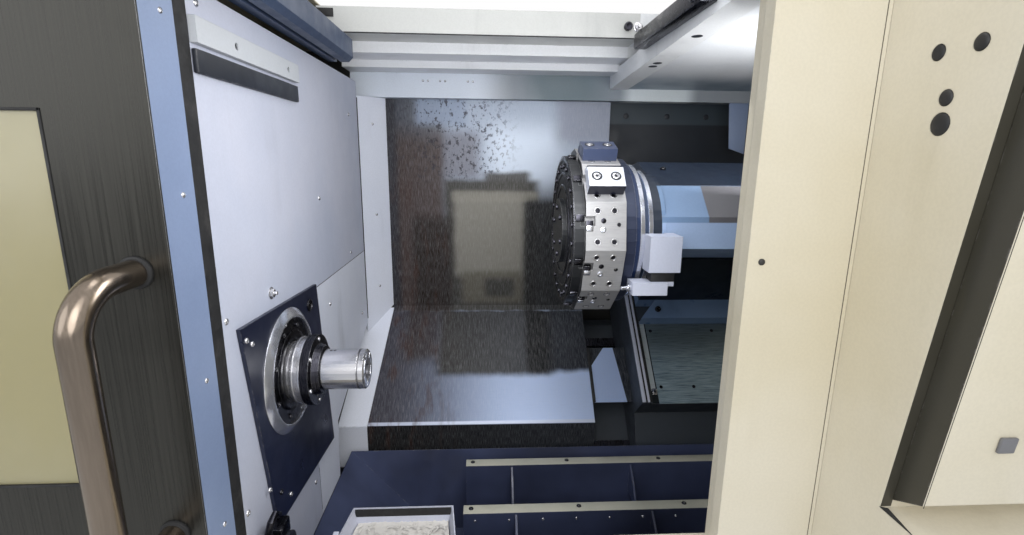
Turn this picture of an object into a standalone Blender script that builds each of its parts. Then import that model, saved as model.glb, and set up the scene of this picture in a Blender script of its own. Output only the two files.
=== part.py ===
"""CNC turning lathe with a slant bed, a twelve-station turret and an opened sliding door.

The spindle lies along X with its nose towards +X, the operator stands at -Y, and +Z is up.
The origin is on the floor, under the middle of the machine. All lengths are in metres.
"""

import math

import bmesh
import bpy
from mathutils import Matrix, Vector

# Driving dimensions of the whole machine
LENGTH = 2.60
REAR = 0.905
HEIGHT = 1.93
HALF = LENGTH / 2
GAP = 0.0003
SHEET = 0.003
OVERRUN = 0.01
SEAM = 0.0006

# Base and its feet
BASE_LOW = 0.06
BASE_SHARE = 0.1554404
BASE_TOP = HEIGHT * BASE_SHARE
FOOT_RADIUS = 0.045
FOOT_PAD = 0.018
FOOT_STUD_RADIUS = 0.016
FOOT_INSET = 0.16
POCKET_RIB = 0.05
POCKET_END = 0.35
POCKET_LENGTH = HALF - POCKET_RIB - POCKET_END
POCKET_ROOF = 0.03

# Enclosure planes
FRONT_Y = -0.65
SILL_SHARE = 0.4145078
SILL_Z = HEIGHT * SILL_SHARE
HEADER_DROP = 0.14
HEADER_LOW = HEIGHT - HEADER_DROP
LIP_SHARE = 0.3155440
LIP_Y = 0.233
LIP_Z = HEIGHT * LIP_SHARE
WALL_X = -0.39
WALL_FRONT_Y = -0.534
WALL_REAR_Y = 0.478
WALL_SINK = 0.049
WALL_LOW = LIP_Z - WALL_SINK
WALL_TOP_DROP = 0.173
WALL_TOP = HEIGHT - WALL_TOP_DROP
WALL_SEAM_RISE = 0.564
WALL_SEAM_Z = LIP_Z + WALL_SEAM_RISE
WALL_SEAM_Y = -0.140
WALL_FOOT_Y = 0.03
WALL_HEEL_Y = 0.045
WALL_HEEL_RISE = 0.126
WALL_HEEL_Z = LIP_Z + WALL_HEEL_RISE
WALL_CUT_RISE = 0.291
WALL_CUT_Z = LIP_Z + WALL_CUT_RISE
BACK_Y = 0.562
BACK_TOP_DROP = 0.218
BACK_TOP = HEIGHT - BACK_TOP_DROP
OPENING_RIGHT = 0.439
RETURN_DEPTH = 0.026
RETURN_WIDTH = 0.020

# Sliding door
DOOR_END_GAP = 0.04
DOOR_WIDTH = HALF + WALL_X - DOOR_END_GAP
DOOR_DEPTH = 0.082
DOOR_MEMBER = 0.060
DOOR_TRAVEL = OPENING_RIGHT - WALL_X - 2 * GAP
WINDOW_LEFT_INSET = 0.14
WINDOW_FAR_INSET = 0.21
WINDOW_WIDTH = DOOR_WIDTH - WINDOW_LEFT_INSET - WINDOW_FAR_INSET
WINDOW_RISE = 0.215
WINDOW_LOW = SILL_Z + WINDOW_RISE
WINDOW_TOP_INSET = 0.225
WINDOW_HEIGHT = HEADER_LOW - WINDOW_TOP_INSET - WINDOW_LOW
WINDOW_LAP = 0.020
PANE = 0.008
HANDLE_RADIUS = 0.0194
HANDLE_X_INSET = 0.048
HANDLE_LEAN = 0.010
HANDLE_STAND_OFF = 0.110
HANDLE_RISE = 0.125
HANDLE_LOW = SILL_Z + HANDLE_RISE
HANDLE_LENGTH = 0.422
HANDLE_BEND = 0.060
HANDLE_STEPS = 6
SEAL_WIDTH = 0.020

# Spindle line
SPINDLE_Y = -0.292
SPINDLE_RISE = 0.436
SPINDLE_Z = LIP_Z + SPINDLE_RISE
SPINDLE_END_GAP = 0.03
SPINDLE_REAR_X = SPINDLE_END_GAP - HALF
SPINDLE_RADIUS = 0.050
SPINDLE_BORE = 0.026
NOSE_RADIUS = 0.072
NOSE_SHOULDER_RADIUS = 0.062
NOSE_STEP_X = -0.358
NOSE_END_X = -0.337
FLANGE_RADIUS = 0.0774
FLANGE_HUB_RADIUS = 0.058
FLANGE_THICK = 0.018
FLANGE_HUB_END_X = -0.305
FLANGE_TAPER_SHARE = 0.9
FLANGE_BORE_SHARE = 0.6
MANDREL_RADIUS = 0.044
MANDREL_END_X = -0.212
MANDREL_GROOVE_X = -0.226
MANDREL_GROOVE = 0.003
MANDREL_BORE = 0.024
MANDREL_BORE_DEPTH = 0.030
JAW_SLOT = 0.006
JAW_COUNT = 6
PLATE_THICK = 0.0076
PLATE_WIDTH = 0.41
PLATE_HEIGHT = 0.466
PLATE_CORNER_SHARES = ((-0.490, 0.348), (0.510, 0.305), (0.649, -0.697), (-0.304, -0.640))
PLATE_HOLE = 0.085
RING_RADIUS = 0.138
RING_INNER = 0.1166
RING_DEPTH = 0.012
RING_BEVEL = 0.009
RING_BEVEL_WIDTH = 0.016
DISC_THICK = 0.006
BEARING_RADIUS = 0.085
BEARING_WIDTH = 0.048
HEADSTOCK_FRONT_X = -0.42
HEADSTOCK_LENGTH = 0.58
HEADSTOCK_HALF = 0.20
HEADSTOCK_CHAMFER = 0.05
BOSS_RADIUS = 0.11
PEDESTAL_LENGTH = 0.38
PEDESTAL_FRONT_Y = -0.47
PEDESTAL_REAR_Y = -0.10
PULLEY_RADIUS = 0.12
PULLEY_WIDTH = 0.055
PULLEY_RIM = 0.006
MOTOR_PULLEY_RADIUS = 0.08
MOTOR_RISE = 0.20
MOTOR_Z = BASE_TOP + MOTOR_RISE
MOTOR_HALF = 0.14
MOTOR_LENGTH = 0.34
MOTOR_SIDES = 8
MOTOR_CORNER_SHARE = 1.12
MOTOR_SHAFT_DEPTH = 0.08
MOTOR_SHAFT = 0.024
BELT_THICK = 0.008
BELT_WIDTH = 0.044

# Slant bed: s runs up the 45 degree slope and n stands off it, both from the cover's lower lip
LIP_DROP = 0.097
FILLER_LEFT_LOW_X = -0.450
FILLER_LEFT_HIGH_X = -0.394
FILLER_RIGHT_LOW_X = -0.352
FILLER_RIGHT_HIGH_X = -0.304
FILLER_HIGH_S = 0.455
FILLER_CLEAR = 0.0012
FILLER_DROP = 0.150
COVER_RIGHT_X = 0.433
COVER_LEFT_X = -0.45
BACK_RIGHT_X = 0.512
BED_LEFT_X = -0.42
BED_END_GAP = 0.22
BED_RIGHT_X = HALF - BED_END_GAP
BED_FRONT_Y = 0.20
BED_REAR_Y = 0.74
BED_CREST_Y = 0.66
BED_LIFT = -0.155
RAIL_WIDTH = 0.035
RAIL_HEIGHT = 0.030
RAIL_WAIST_SHARE = 0.7
RAIL_FOOT_SHARE = 0.3
RAIL_LIP_SHARE = 0.2
RAIL_LOWER_S = -0.05
RAIL_UPPER_S = 0.36
SCREW_BRACKET = 0.04
SCREW_S = 0.155
SCREW_LIFT = -0.100
SCREW_RADIUS = 0.016
SCREW_HOUSE = 0.050
SERVO_HALF = 0.065
SERVO_LENGTH = 0.17

# Carriage
SADDLE_LEFT_X = 0.578
SADDLE_RIGHT_X = 1.02
SADDLE_TOP_LIFT = 0.10
SADDLE_LOW_S = 0.03
SADDLE_HIGH_S = 0.62
SADDLE_TOE_S = -0.09
SADDLE_TOE_LIFT = -0.06
SADDLE_HEEL_S = 0.50
SADDLE_TAIL_LIFT = -0.05
WIPER_WIDTH = 0.036
WIPER_RISE = 0.008
SADDLE_PLATE_S = 0.34
SADDLE_PLATE_THICK = 0.006
WING_LEFT_X = 0.40
WING_LOW_S = 0.07
WING_HIGH_S = 0.28
WING_LAP = 0.0005
CARRIAGE_TRAVEL = 0.42
X_SCREW_X = 0.80
X_SCREW_LIFT = 0.032
X_SCREW_RADIUS = 0.0125
X_CHANNEL_HALF = 0.032
X_CHANNEL_DEPTH = 0.100
X_CHANNEL_LOW_S = 0.050
X_SCREW_LOW_S = 0.080
X_NUT_S = 0.52
X_NUT_LENGTH = 0.06
X_NUT_HALF = 0.024

# Cross slide and turret
SLIDE_LEFT_X = 0.6145
SLIDE_FOOT_S = 0.328
SLIDE_FOOT_LIFT = 0.15
SLIDE_STEP_S = 0.402
SLIDE_TOP_S = 0.70
SLIDE_TOP_LIFT = 0.42
SLIDE_CHAMFER = 0.062
SLIDE_TRAVEL = 0.17
TURRET_Y = -0.018
TURRET_RISE = 0.710
TURRET_Z = LIP_Z + TURRET_RISE
TURRET_CORNER = 0.215
TURRET_LEFT_X = 0.281
TURRET_RIGHT_X = 0.375
TURRET_RIM_X = 0.257
TURRET_RIM_RADIUS = 0.196
TURRET_HUB_RADIUS = 0.190
TURRET_HUB_X = 0.405
TURRET_CAP_RADIUS = 0.085
TURRET_CAP_X = 0.245
STATIONS = 12
FACET_TILT = math.radians(10.5)
STATION_HOLE = 0.006
STATION_HOLE_DEPTH = 0.016
STATION_HOLE_X = 0.0195
STATION_HOLE_T = 0.036
STATION_SLOT_WIDTH = 0.022
STATION_SLOT_LENGTH = 0.022
STATION_SLOT_DEPTH = 0.014
STATION_SLOT_T = 0.012
NECK_RADIUS = 0.175
NECK_STEP_X = 0.430
NECK_STEP_RADIUS = 0.160
NECK_ROOT_X = 0.455
NECK_ROOT_RADIUS = 0.150
HOUSING_LEFT_X = 0.480
HOUSING_RIGHT_X = 0.940
HOUSING_FRONT_Y = -0.170
HOUSING_SINK = 0.024
HOUSING_FRONT_LOW = TURRET_Z - HOUSING_SINK
HOUSING_FRONT_TOP_Y = -0.160
HOUSING_FRONT_RISE = 0.053
HOUSING_FRONT_TOP = TURRET_Z + HOUSING_FRONT_RISE
HOUSING_BROW_Y = -0.090
HOUSING_BROW_RISE = 0.126
HOUSING_BROW_Z = TURRET_Z + HOUSING_BROW_RISE
HOUSING_CROWN_Y = 0.075
HOUSING_CROWN_RISE = 0.181
HOUSING_CROWN_Z = TURRET_Z + HOUSING_CROWN_RISE
HOUSING_BACK_Y = 0.250
HOUSING_BACK_RISE = 0.151
HOUSING_BACK_Z = TURRET_Z + HOUSING_BACK_RISE
HOUSING_HEEL_S = 0.66
HOUSING_TOE_S = 0.41
HOLDER_HALF_X = 0.042
HOLDER_HALF_T = 0.034
HOLDER_RISE = 0.030
HOLDER_WEDGE = 0.012
HOLDER_WEDGE_DEPTH = 0.014
HOLDER_SCREW = 0.0075
HOLDER_SCREW_DEPTH = 0.006
HOLDER_SCREW_X = 0.022
HOLDER_A_TILT = math.radians(40.5)
HOLDER_B_TILT = math.radians(70.5)
COOLANT_LEFT_X = 0.4303
COOLANT_WIDTH = 0.075
COOLANT_FRONT_Y = -0.235
COOLANT_DEPTH = 0.050
COOLANT_SINK = 0.069
COOLANT_LOW = TURRET_Z - COOLANT_SINK
COOLANT_HEIGHT = 0.085
COOLANT_FOOT = 0.022
COOLANT_FOOT_LOW = HOUSING_FRONT_LOW
COOLANT_NOZZLE_LEFT_X = 0.395
COOLANT_NOZZLE_WIDTH = 0.083
COOLANT_NOZZLE_HEIGHT = 0.030
COOLANT_NECK = 0.025
COOLANT_NECK_INSET = 0.010

# Chip pan, trough walls and parts tray
PAN_RIGHT_X = 0.90
PAN_REAR_Y = 0.165
PAN_RIM_Z = WALL_LOW - SHEET
PAN_LEFT_RUN = 0.27
PAN_FRONT_RUN = 0.23
PAN_REAR_RUN = 0.06
PAN_RIGHT_RUN = 0.06
TROUGH_LEFT_X = -0.01
TROUGH_RIGHT_X = 0.83
TROUGH_PROUD = 0.010
TROUGH_TOP = WALL_LOW + TROUGH_PROUD
TROUGH_REAR_Y = 0.047
TROUGH_FRONT_Y = -0.170
TROUGH_FLANGE = 0.036
TROUGH_PLATE = 0.006
GUSSET_X = 0.13
GUSSET_PITCH = 0.375
GUSSET_COUNT = 2
GUSSET_RUN = 0.09
GUSSET_RISE = 0.045
GUSSET_DROP = 0.10
TRAY_X = -0.246
TRAY_WIDTH = 0.22
TRAY_REAR_Y = -0.345
TRAY_LENGTH = 0.175
TRAY_DROP = 0.07
TRAY_RIM_Z = SILL_Z - TRAY_DROP
TRAY_DEPTH = 0.10
TRAY_FLARE = 0.020
TRAY_SHEET = 0.003
PAN_WALL_SIDE = 1
PIVOT_Y = -0.455
PIVOT_Z = TRAY_RIM_Z
PIVOT_RADIUS = 0.011
PIVOT_BOSS = 0.030
PIVOT_BOSS_LENGTH = 0.044
ARM_LEFT_X = -0.264
ARM_THICK = 0.0105
ARM_HALF = 0.017
ARM_DROP = 0.070
BAR_INSET = 0.010

# Roof
STEP_FRONT_Y = 0.190
STEP_LEFT_X = -0.4197
STEP_RIGHT_X = 0.560
BEAM_DEPTH = 0.120
BEAM_A_LOW_DROP = 0.079
BEAM_A_TOP_DROP = 0.013
BEAM_B_DROP = 0.111
BEAM_C_DROP = 0.134
BEAM_A_LOW = HEIGHT - BEAM_A_LOW_DROP
BEAM_A_TOP = HEIGHT - BEAM_A_TOP_DROP
BEAM_B_LOW = HEIGHT - BEAM_B_DROP
BEAM_C_LOW = HEIGHT - BEAM_C_DROP
BEAM_C_DEPTH = 0.100
REAR_HEADER_DEPTH = 0.060
ROOF_RAIL_LEFT_WIDTH = 0.069
ROOF_RAIL_LEFT_DROP = 0.160
ROOF_RAIL_LEFT_LOW = HEIGHT - ROOF_RAIL_LEFT_DROP
ROOF_RAIL_LEFT_HEIGHT = 0.060
ROOF_RAIL_GROOVE = 0.012
ROOF_RAIL_RIGHT_X = 0.498
ROOF_RAIL_RIGHT_WIDTH = 0.063
ROOF_RAIL_RIGHT_HEIGHT = 0.053
ROOF_RAIL_RIGHT_FRONT_DROP = 0.130
ROOF_RAIL_RIGHT_REAR_DROP = 0.179
ROOF_RAIL_RIGHT_FRONT_Z = HEIGHT - ROOF_RAIL_RIGHT_FRONT_DROP
ROOF_RAIL_RIGHT_REAR_Z = HEIGHT - ROOF_RAIL_RIGHT_REAR_DROP
ROOF_LEFT_EDGE_X = -0.42
ROOF_RIGHT_EDGE_X = 0.57
LAMP_REAR_Y = -0.107
LAMP_DROP = 0.257
LAMP_LOW = HEIGHT - LAMP_DROP
LAMP_HEIGHT = 0.0385
LAMP_THICK = 0.012
LAMP_HOLE = 0.006
LAMP_HOLE_SHARES = (0.295, 0.853)
RECESS_Y = 0.70
RECESS_LEFT_X = 0.02
RECESS_DROP = 0.63
RECESS_LOW = HEIGHT - RECESS_DROP
RECESS_HOLE = 0.012
RECESS_HOLE_DROP = 0.178
RECESS_HOLE_Z = HEIGHT - RECESS_HOLE_DROP
RECESS_HOLE_X = 0.560
RECESS_HOLE_PITCH = 0.165
RECESS_HOLE_COUNT = 3
LOUVRE_COUNT = 8
LOUVRE_DROP = 0.63
LOUVRE_LOW = HEIGHT - LOUVRE_DROP
LOUVRE_PITCH = 0.045
LOUVRE_HEIGHT = 0.012
LOUVRE_LENGTH = 0.32

# Operator console
CONSOLE_X = 0.603
CONSOLE_FRONT_Y = -0.772
CONSOLE_LEAN = 0.112
CONSOLE_LOW = WALL_LOW
CONSOLE_TOE_Y = -0.840
CONSOLE_TOE_RISE = 0.175
CONSOLE_TOE_LOW = SILL_Z + CONSOLE_TOE_RISE
CONSOLE_SHELF_RISE = 0.235
CONSOLE_SHELF_Z = SILL_Z + CONSOLE_SHELF_RISE
CONSOLE_REAR_Y = -0.5603
CONSOLE_PLUG = 0.010
CONSOLE_BIG_PLUG = 0.014
CONSOLE_PLUG_DEPTH = 0.0015
CONSOLE_PLUG_Y = (-0.7364, -0.7914, -0.7584)
CONSOLE_PLUG_DROPS = (0.290, 0.289, 0.345)
CONSOLE_BIG_PLUG_Y = -0.7566
CONSOLE_BIG_PLUG_DROP = 0.3755
PANEL_LEFT_X = 0.618
PANEL_END_GAP = 0.07
PANEL_RIGHT_X = HALF - PANEL_END_GAP
PANEL_RISE = 0.013
PANEL_LOW = CONSOLE_SHELF_Z + PANEL_RISE
PANEL_CHAMFER = 0.023
PANEL_LOW_FRONT = PANEL_LOW + PANEL_CHAMFER
PANEL_DROP = 0.08
PANEL_TOP = HEIGHT - PANEL_DROP
PANEL_DEPTH = 0.042
PANEL_WALL = 0.008
PANEL_SCREEN_SHARES = (0.20, 0.78, 0.56, 0.93)
PANEL_KEYS_SHARES = (0.20, 0.62, 0.26, 0.50)
PANEL_SCREEN_DEPTH = 0.004
KEY_RISE = 0.003
KEY_SHARE = 0.8
KEY_ROWS = 4
KEY_COLUMNS = 7
CONTROL_INSET = 0.085
ESTOP_X = PANEL_RIGHT_X - CONTROL_INSET
ESTOP_RISE = 0.215
ESTOP_Z = CONSOLE_SHELF_Z + ESTOP_RISE
ESTOP_RADIUS = 0.020
ESTOP_STEM_RADIUS = 0.011
ESTOP_STAND = 0.024
ESTOP_HEAD = 0.014
ESTOP_DOME = 0.005
BUTTON_BORE = 0.030
BUTTON_STEM = 0.018
ESTOP_TRAVEL = 0.006
DIAL_RISE = 0.335
DIAL_X = ESTOP_X
DIAL_Z = CONSOLE_SHELF_Z + DIAL_RISE
DIAL_RADIUS = 0.018
DIAL_DEPTH = 0.018
DIAL_RIBS = 12
DIAL_RIB_DEPTH = 0.0015
DIAL_LIFT = 0.001
DIAL_STEM_RADIUS = 0.006

ROUND = 40
SMALL_ROUND = 20
HOLE_ROUND = 8

BACK_IN = REAR - SHEET - GAP
SIDE_IN = HALF - SHEET - GAP
PAN_FLOOR = BASE_TOP + SHEET + GAP
DOOR_REAR_Y = FRONT_Y + DOOR_DEPTH
DOOR_LEFT_X = WALL_X - DOOR_WIDTH
PLATE_X = WALL_X + GAP
NOSE_START_X = WALL_X + PLATE_THICK + DISC_THICK + GAP


def start_clean():
    for obj in list(bpy.data.objects):
        bpy.data.objects.remove(obj)


def new_collection(name):
    found = bpy.data.collections.new(name)
    bpy.context.scene.collection.children.link(found)
    return found


start_clean()
PARTS = new_collection("cnc_turning_lathe")
CUTTERS = new_collection("cutters")


def make_paint(name, color, roughness, metallic):
    made = bpy.data.materials.new(name)
    made.use_nodes = True
    shader = made.node_tree.nodes["Principled BSDF"]
    shader.inputs["Base Color"].default_value = (*color, 1)
    shader.inputs["Roughness"].default_value = roughness
    shader.inputs["Metallic"].default_value = metallic
    made.diffuse_color = (*color, 1)
    return made


LOOKS = {
    "cream": make_paint("cream_paint", (0.62, 0.58, 0.48), 0.42, 0),
    "pale": make_paint("pale_sheet", (0.56, 0.58, 0.63), 0.45, 0.2),
    "blue_grey": make_paint("blue_grey_paint", (0.16, 0.22, 0.30), 0.40, 0.1),
    "navy": make_paint("navy_plate", (0.03, 0.035, 0.07), 0.30, 0.6),
    "dark": make_paint("dark_paint", (0.02, 0.022, 0.03), 0.50, 0.2),
    "cast": make_paint("machine_grey", (0.14, 0.16, 0.19), 0.60, 0.1),
    "steel": make_paint("bright_steel", (0.60, 0.60, 0.62), 0.22, 1),
    "stainless": make_paint("stainless_sheet", (0.42, 0.42, 0.45), 0.30, 1),
    "black_steel": make_paint("black_steel", (0.05, 0.05, 0.06), 0.35, 0.9),
    "rubber": make_paint("black_rubber", (0.012, 0.012, 0.013), 0.75, 0),
    "glass": make_paint("tinted_pane", (0.45, 0.44, 0.25), 0.08, 0),
    "red": make_paint("red_plastic", (0.55, 0.02, 0.02), 0.35, 0),
    "grey_plastic": make_paint("grey_plastic", (0.20, 0.20, 0.21), 0.50, 0),
}


def make_pivot(name, place):
    pivot = bpy.data.objects.new(name, None)
    pivot.location = place
    PARTS.objects.link(pivot)
    return pivot


def slope(s, n):
    """The Y and Z of a point s up the 45 degree slope and n off it."""
    root = math.sqrt(2)
    return (LIP_Y + (s - n) / root, LIP_Z + (s + n) / root)


def console_front(z):
    """The Y of the console's leaning front face at a height."""
    return CONSOLE_FRONT_Y - CONSOLE_LEAN * (z - CONSOLE_SHELF_Z)


def panel_front(z):
    return console_front(z) - PANEL_DEPTH


PIVOTS = {
    "door": make_pivot("door_pivot", (WALL_X, FRONT_Y, SILL_Z)),
    "spindle": make_pivot("spindle_pivot", (0, SPINDLE_Y, SPINDLE_Z)),
    "motor": make_pivot("motor_pivot", (0, SPINDLE_Y, MOTOR_Z)),
    "carriage": make_pivot("carriage_pivot", (SADDLE_LEFT_X, *slope(0, 0))),
    "z_screw": make_pivot("z_screw_pivot", (0, *slope(SCREW_S, SCREW_LIFT))),
    "x_screw": make_pivot("x_screw_pivot", (X_SCREW_X, *slope(0, X_SCREW_LIFT))),
    "cross": make_pivot("cross_pivot", (SADDLE_LEFT_X, *slope(0, SADDLE_TOP_LIFT))),
    "turret": make_pivot("turret_pivot", (0, TURRET_Y, TURRET_Z)),
    "tray": make_pivot("tray_pivot", (WALL_X, PIVOT_Y, PIVOT_Z)),
    "panel": make_pivot("panel_pivot", (PANEL_RIGHT_X, CONSOLE_FRONT_Y - 2 * GAP, CONSOLE_SHELF_Z)),
    "estop": make_pivot("estop_pivot", (ESTOP_X, panel_front(ESTOP_Z), ESTOP_Z)),
    "dial": make_pivot("dial_pivot", (DIAL_X, panel_front(DIAL_Z), DIAL_Z)),
}


def add_part(obj, look, body=None):
    """Names the object's material and body, and keeps its place when it is parented."""
    obj.data.materials.clear()
    obj.data.materials.append(LOOKS[look])
    PARTS.objects.link(obj)
    if body:
        obj.parent = PIVOTS[body]
        obj.matrix_parent_inverse = Matrix.Translation(-PIVOTS[body].location)
    return obj


def add_cutter(obj):
    obj.hide_render = True
    obj.display_type = "WIRE"
    CUTTERS.objects.link(obj)
    return obj


def box(name, low, high):
    """A block between two corners, with its origin at its centre."""
    mesh = bpy.data.meshes.new(name)
    shape = bmesh.new()
    bmesh.ops.create_cube(shape, size=1)
    size = [b - a for a, b in zip(low, high)]
    bmesh.ops.scale(shape, vec=size, verts=shape.verts)
    shape.to_mesh(mesh)
    shape.free()
    obj = bpy.data.objects.new(name, mesh)
    obj.location = [(a + b) / 2 for a, b in zip(low, high)]
    return obj


# Turns of the local frame that put a flat outline's thickness along each world axis
ALONG = {
    "X": Matrix(((0, 0, 1), (1, 0, 0), (0, 1, 0))),
    "Y": Matrix(((0, 1, 0), (0, 0, 1), (1, 0, 0))),
    "Z": Matrix.Identity(3),
}


def welded_mesh(obj, name):
    """A closed mesh from a curve object, which is removed."""
    bpy.context.scene.collection.objects.link(obj)
    bpy.context.view_layer.update()
    seen = obj.evaluated_get(bpy.context.evaluated_depsgraph_get())
    mesh = bpy.data.meshes.new_from_object(seen)
    place = obj.matrix_world.copy()
    bpy.data.objects.remove(obj)
    shape = bmesh.new()
    shape.from_mesh(mesh)
    bmesh.ops.remove_doubles(shape, verts=shape.verts, dist=GAP / 10)
    bmesh.ops.recalc_face_normals(shape, faces=shape.faces)
    shape.to_mesh(mesh)
    shape.free()
    made = bpy.data.objects.new(name, mesh)
    made.matrix_world = place
    return made


def prism(name, loops, axis, start, end):
    """A flat outline with holes, pushed along an axis from start to end.

    The outline's points are (Y, Z) along X, (Z, X) along Y and (X, Y) along Z.
    """
    curve = bpy.data.curves.new(name, "CURVE")
    curve.dimensions = "2D"
    curve.fill_mode = "BOTH"
    curve.extrude = (end - start) / 2
    for loop in loops:
        spline = curve.splines.new("POLY")
        spline.points.add(len(loop) - 1)
        for point, (a, b) in zip(spline.points, loop):
            point.co = (a, b, 0, 1)
        spline.use_cyclic_u = True
    obj = bpy.data.objects.new(name, curve)
    turn = ALONG[axis].to_4x4()
    obj.matrix_world = turn @ Matrix.Translation((0, 0, (start + end) / 2))
    return welded_mesh(obj, name)


def ring_points(centre, radius, count, turn=0.0):
    steps = [turn + 2 * math.pi * i / count for i in range(count)]
    return [(centre[0] + radius * math.cos(a), centre[1] + radius * math.sin(a)) for a in steps]


def turned(name, profile, centre, steps=ROUND):
    """A turned piece along X from a profile of (x, radius) points, from +X down to -X."""
    mesh = bpy.data.meshes.new(name)
    points = [(radius, 0, x) for x, radius in profile]
    on_axis = profile[0][1] == 0
    edges = [(i, i + 1) for i in range(len(points) - 1)]
    if not on_axis:
        edges.append((len(points) - 1, 0))
    mesh.from_pydata(points, edges, [])
    obj = bpy.data.objects.new(name, mesh)
    screw = obj.modifiers.new("Screw", "SCREW")
    screw.axis = "Z"
    screw.steps = steps
    screw.render_steps = steps
    screw.use_merge_vertices = True
    screw.merge_threshold = GAP / 10
    screw.use_smooth_shade = True
    obj.matrix_world = Matrix.Translation((0, *centre)) @ Matrix.Rotation(math.pi / 2, 4, "Y")
    return obj


def rod(name, centre, radius, low, high, steps=SMALL_ROUND):
    """A plain round bar along X."""
    return turned(name, [(high, 0), (high, radius), (low, radius), (low, 0)], centre, steps)


def tube_ring(name, centre, radius, inner, low, high, steps=ROUND):
    return turned(name, [(high, radius), (low, radius), (low, inner), (high, inner)], centre, steps)


def combine(obj, tool, kind):
    add_cutter(tool)
    step = obj.modifiers.new(f"{kind.title()} {tool.name}", "BOOLEAN")
    step.operation = kind
    step.object = tool
    return obj


def cut(obj, *tools):
    for tool in tools:
        combine(obj, tool, "DIFFERENCE")
    return obj


def fuse(obj, *tools):
    for tool in tools:
        combine(obj, tool, "UNION")
    return obj


def peg(name, place, direction, radius, length, steps=HOLE_ROUND):
    """A round bar centred on place, along any direction."""
    mesh = bpy.data.meshes.new(name)
    shape = bmesh.new()
    bmesh.ops.create_cone(
        shape, cap_ends=True, segments=steps, radius1=radius, radius2=radius, depth=length
    )
    shape.to_mesh(mesh)
    shape.free()
    obj = bpy.data.objects.new(name, mesh)
    turn = Vector(direction).to_track_quat("Z", "Y").to_matrix().to_4x4()
    obj.matrix_world = Matrix.Translation(place) @ turn
    return obj


def joined(name, pieces):
    """One object from plain meshes that lie apart from each other."""
    shape = bmesh.new()
    for piece in pieces:
        mesh = piece.data.copy()
        mesh.transform(piece.matrix_basis)
        shape.from_mesh(mesh)
        bpy.data.objects.remove(piece)
    mesh = bpy.data.meshes.new(name)
    shape.to_mesh(mesh)
    shape.free()
    return bpy.data.objects.new(name, mesh)


def inset(loop, width):
    """A counter-clockwise outline moved inwards by width, with sharp corners."""
    made = []
    for i, corner in enumerate(loop):
        before = (Vector(corner) - Vector(loop[i - 1])).normalized()
        after = (Vector(loop[(i + 1) % len(loop)]) - Vector(corner)).normalized()
        normal = Vector((-before.y, before.x)) + Vector((-after.y, after.x))
        made.append(tuple(Vector(corner) + normal * (width / (1 + before.dot(after)))))
    return made


def slope_prism(name, points, start, end):
    """An outline in (s, n) along the bed's slope, pushed along X."""
    return prism(name, [[slope(s, n) for s, n in points]], "X", start, end)


def slope_plate(name, loops, low, high):
    """An outline in (x, s) lying on the slope, from n = low to n = high."""
    obj = prism(name, loops, "Z", low, high)
    turn = Matrix.Translation((0, LIP_Y, LIP_Z)) @ Matrix.Rotation(math.pi / 4, 4, "X")
    obj.matrix_world = turn @ obj.matrix_world
    return obj


def make_base():
    front = FRONT_Y + SHEET + GAP
    base = box("base", (-SIDE_IN, front, BASE_LOW), (SIDE_IN, BACK_IN, BASE_TOP))
    for side in (-1, 1):
        near, far = sorted((side * POCKET_RIB, side * (POCKET_RIB + POCKET_LENGTH)))
        pocket = box(
            "base_pocket", (near, front + POCKET_RIB, BASE_LOW - OVERRUN),
            (far, BACK_IN - POCKET_RIB, BASE_TOP - POCKET_ROOF),
        )
        cut(base, pocket)
        for y in (FRONT_Y + FOOT_INSET, 0, REAR - FOOT_INSET):
            x = side * (HALF - FOOT_INSET)
            pad = peg("foot_pad", (x, y, FOOT_PAD / 2), (0, 0, 1), FOOT_RADIUS, FOOT_PAD, SMALL_ROUND)
            top = BASE_LOW + OVERRUN
            low = FOOT_PAD / 2
            middle = (x, y, (top + low) / 2)
            stud = peg("foot_stud", middle, (0, 0, 1), FOOT_STUD_RADIUS, top - low, HOLE_ROUND)
            fuse(base, pad, stud)
    add_part(base, "cast")


def make_slant_bed():
    top = slope(0, BED_LIFT)
    front_top = top[1] + BED_FRONT_Y - top[0]
    crest = top[1] + BED_CREST_Y - top[0]
    low = BASE_TOP + GAP
    outline = [
        (BED_FRONT_Y, low),
        (BED_REAR_Y, low),
        (BED_REAR_Y, crest),
        (BED_CREST_Y, crest),
        (BED_FRONT_Y, front_top),
    ]
    bed = prism("slant_bed", [outline], "X", BED_LEFT_X, BED_RIGHT_X)
    reach = SCREW_HOUSE / 2
    for left in (BED_LEFT_X, BED_RIGHT_X - SCREW_BRACKET):
        corners = [
            (SCREW_S - reach, BED_LIFT - OVERRUN),
            (SCREW_S + reach, BED_LIFT - OVERRUN),
            (SCREW_S + reach, SCREW_LIFT + reach / 2),
            (SCREW_S - reach, SCREW_LIFT + reach / 2),
        ]
        fuse(bed, slope_prism("screw_house", corners, left, left + SCREW_BRACKET))
    bore = rod("screw_bore", slope(SCREW_S, SCREW_LIFT), SCREW_RADIUS + GAP, BED_LEFT_X - OVERRUN,
               BED_RIGHT_X + OVERRUN)
    cut(bed, bore)
    add_part(bed, "cast")


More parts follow.
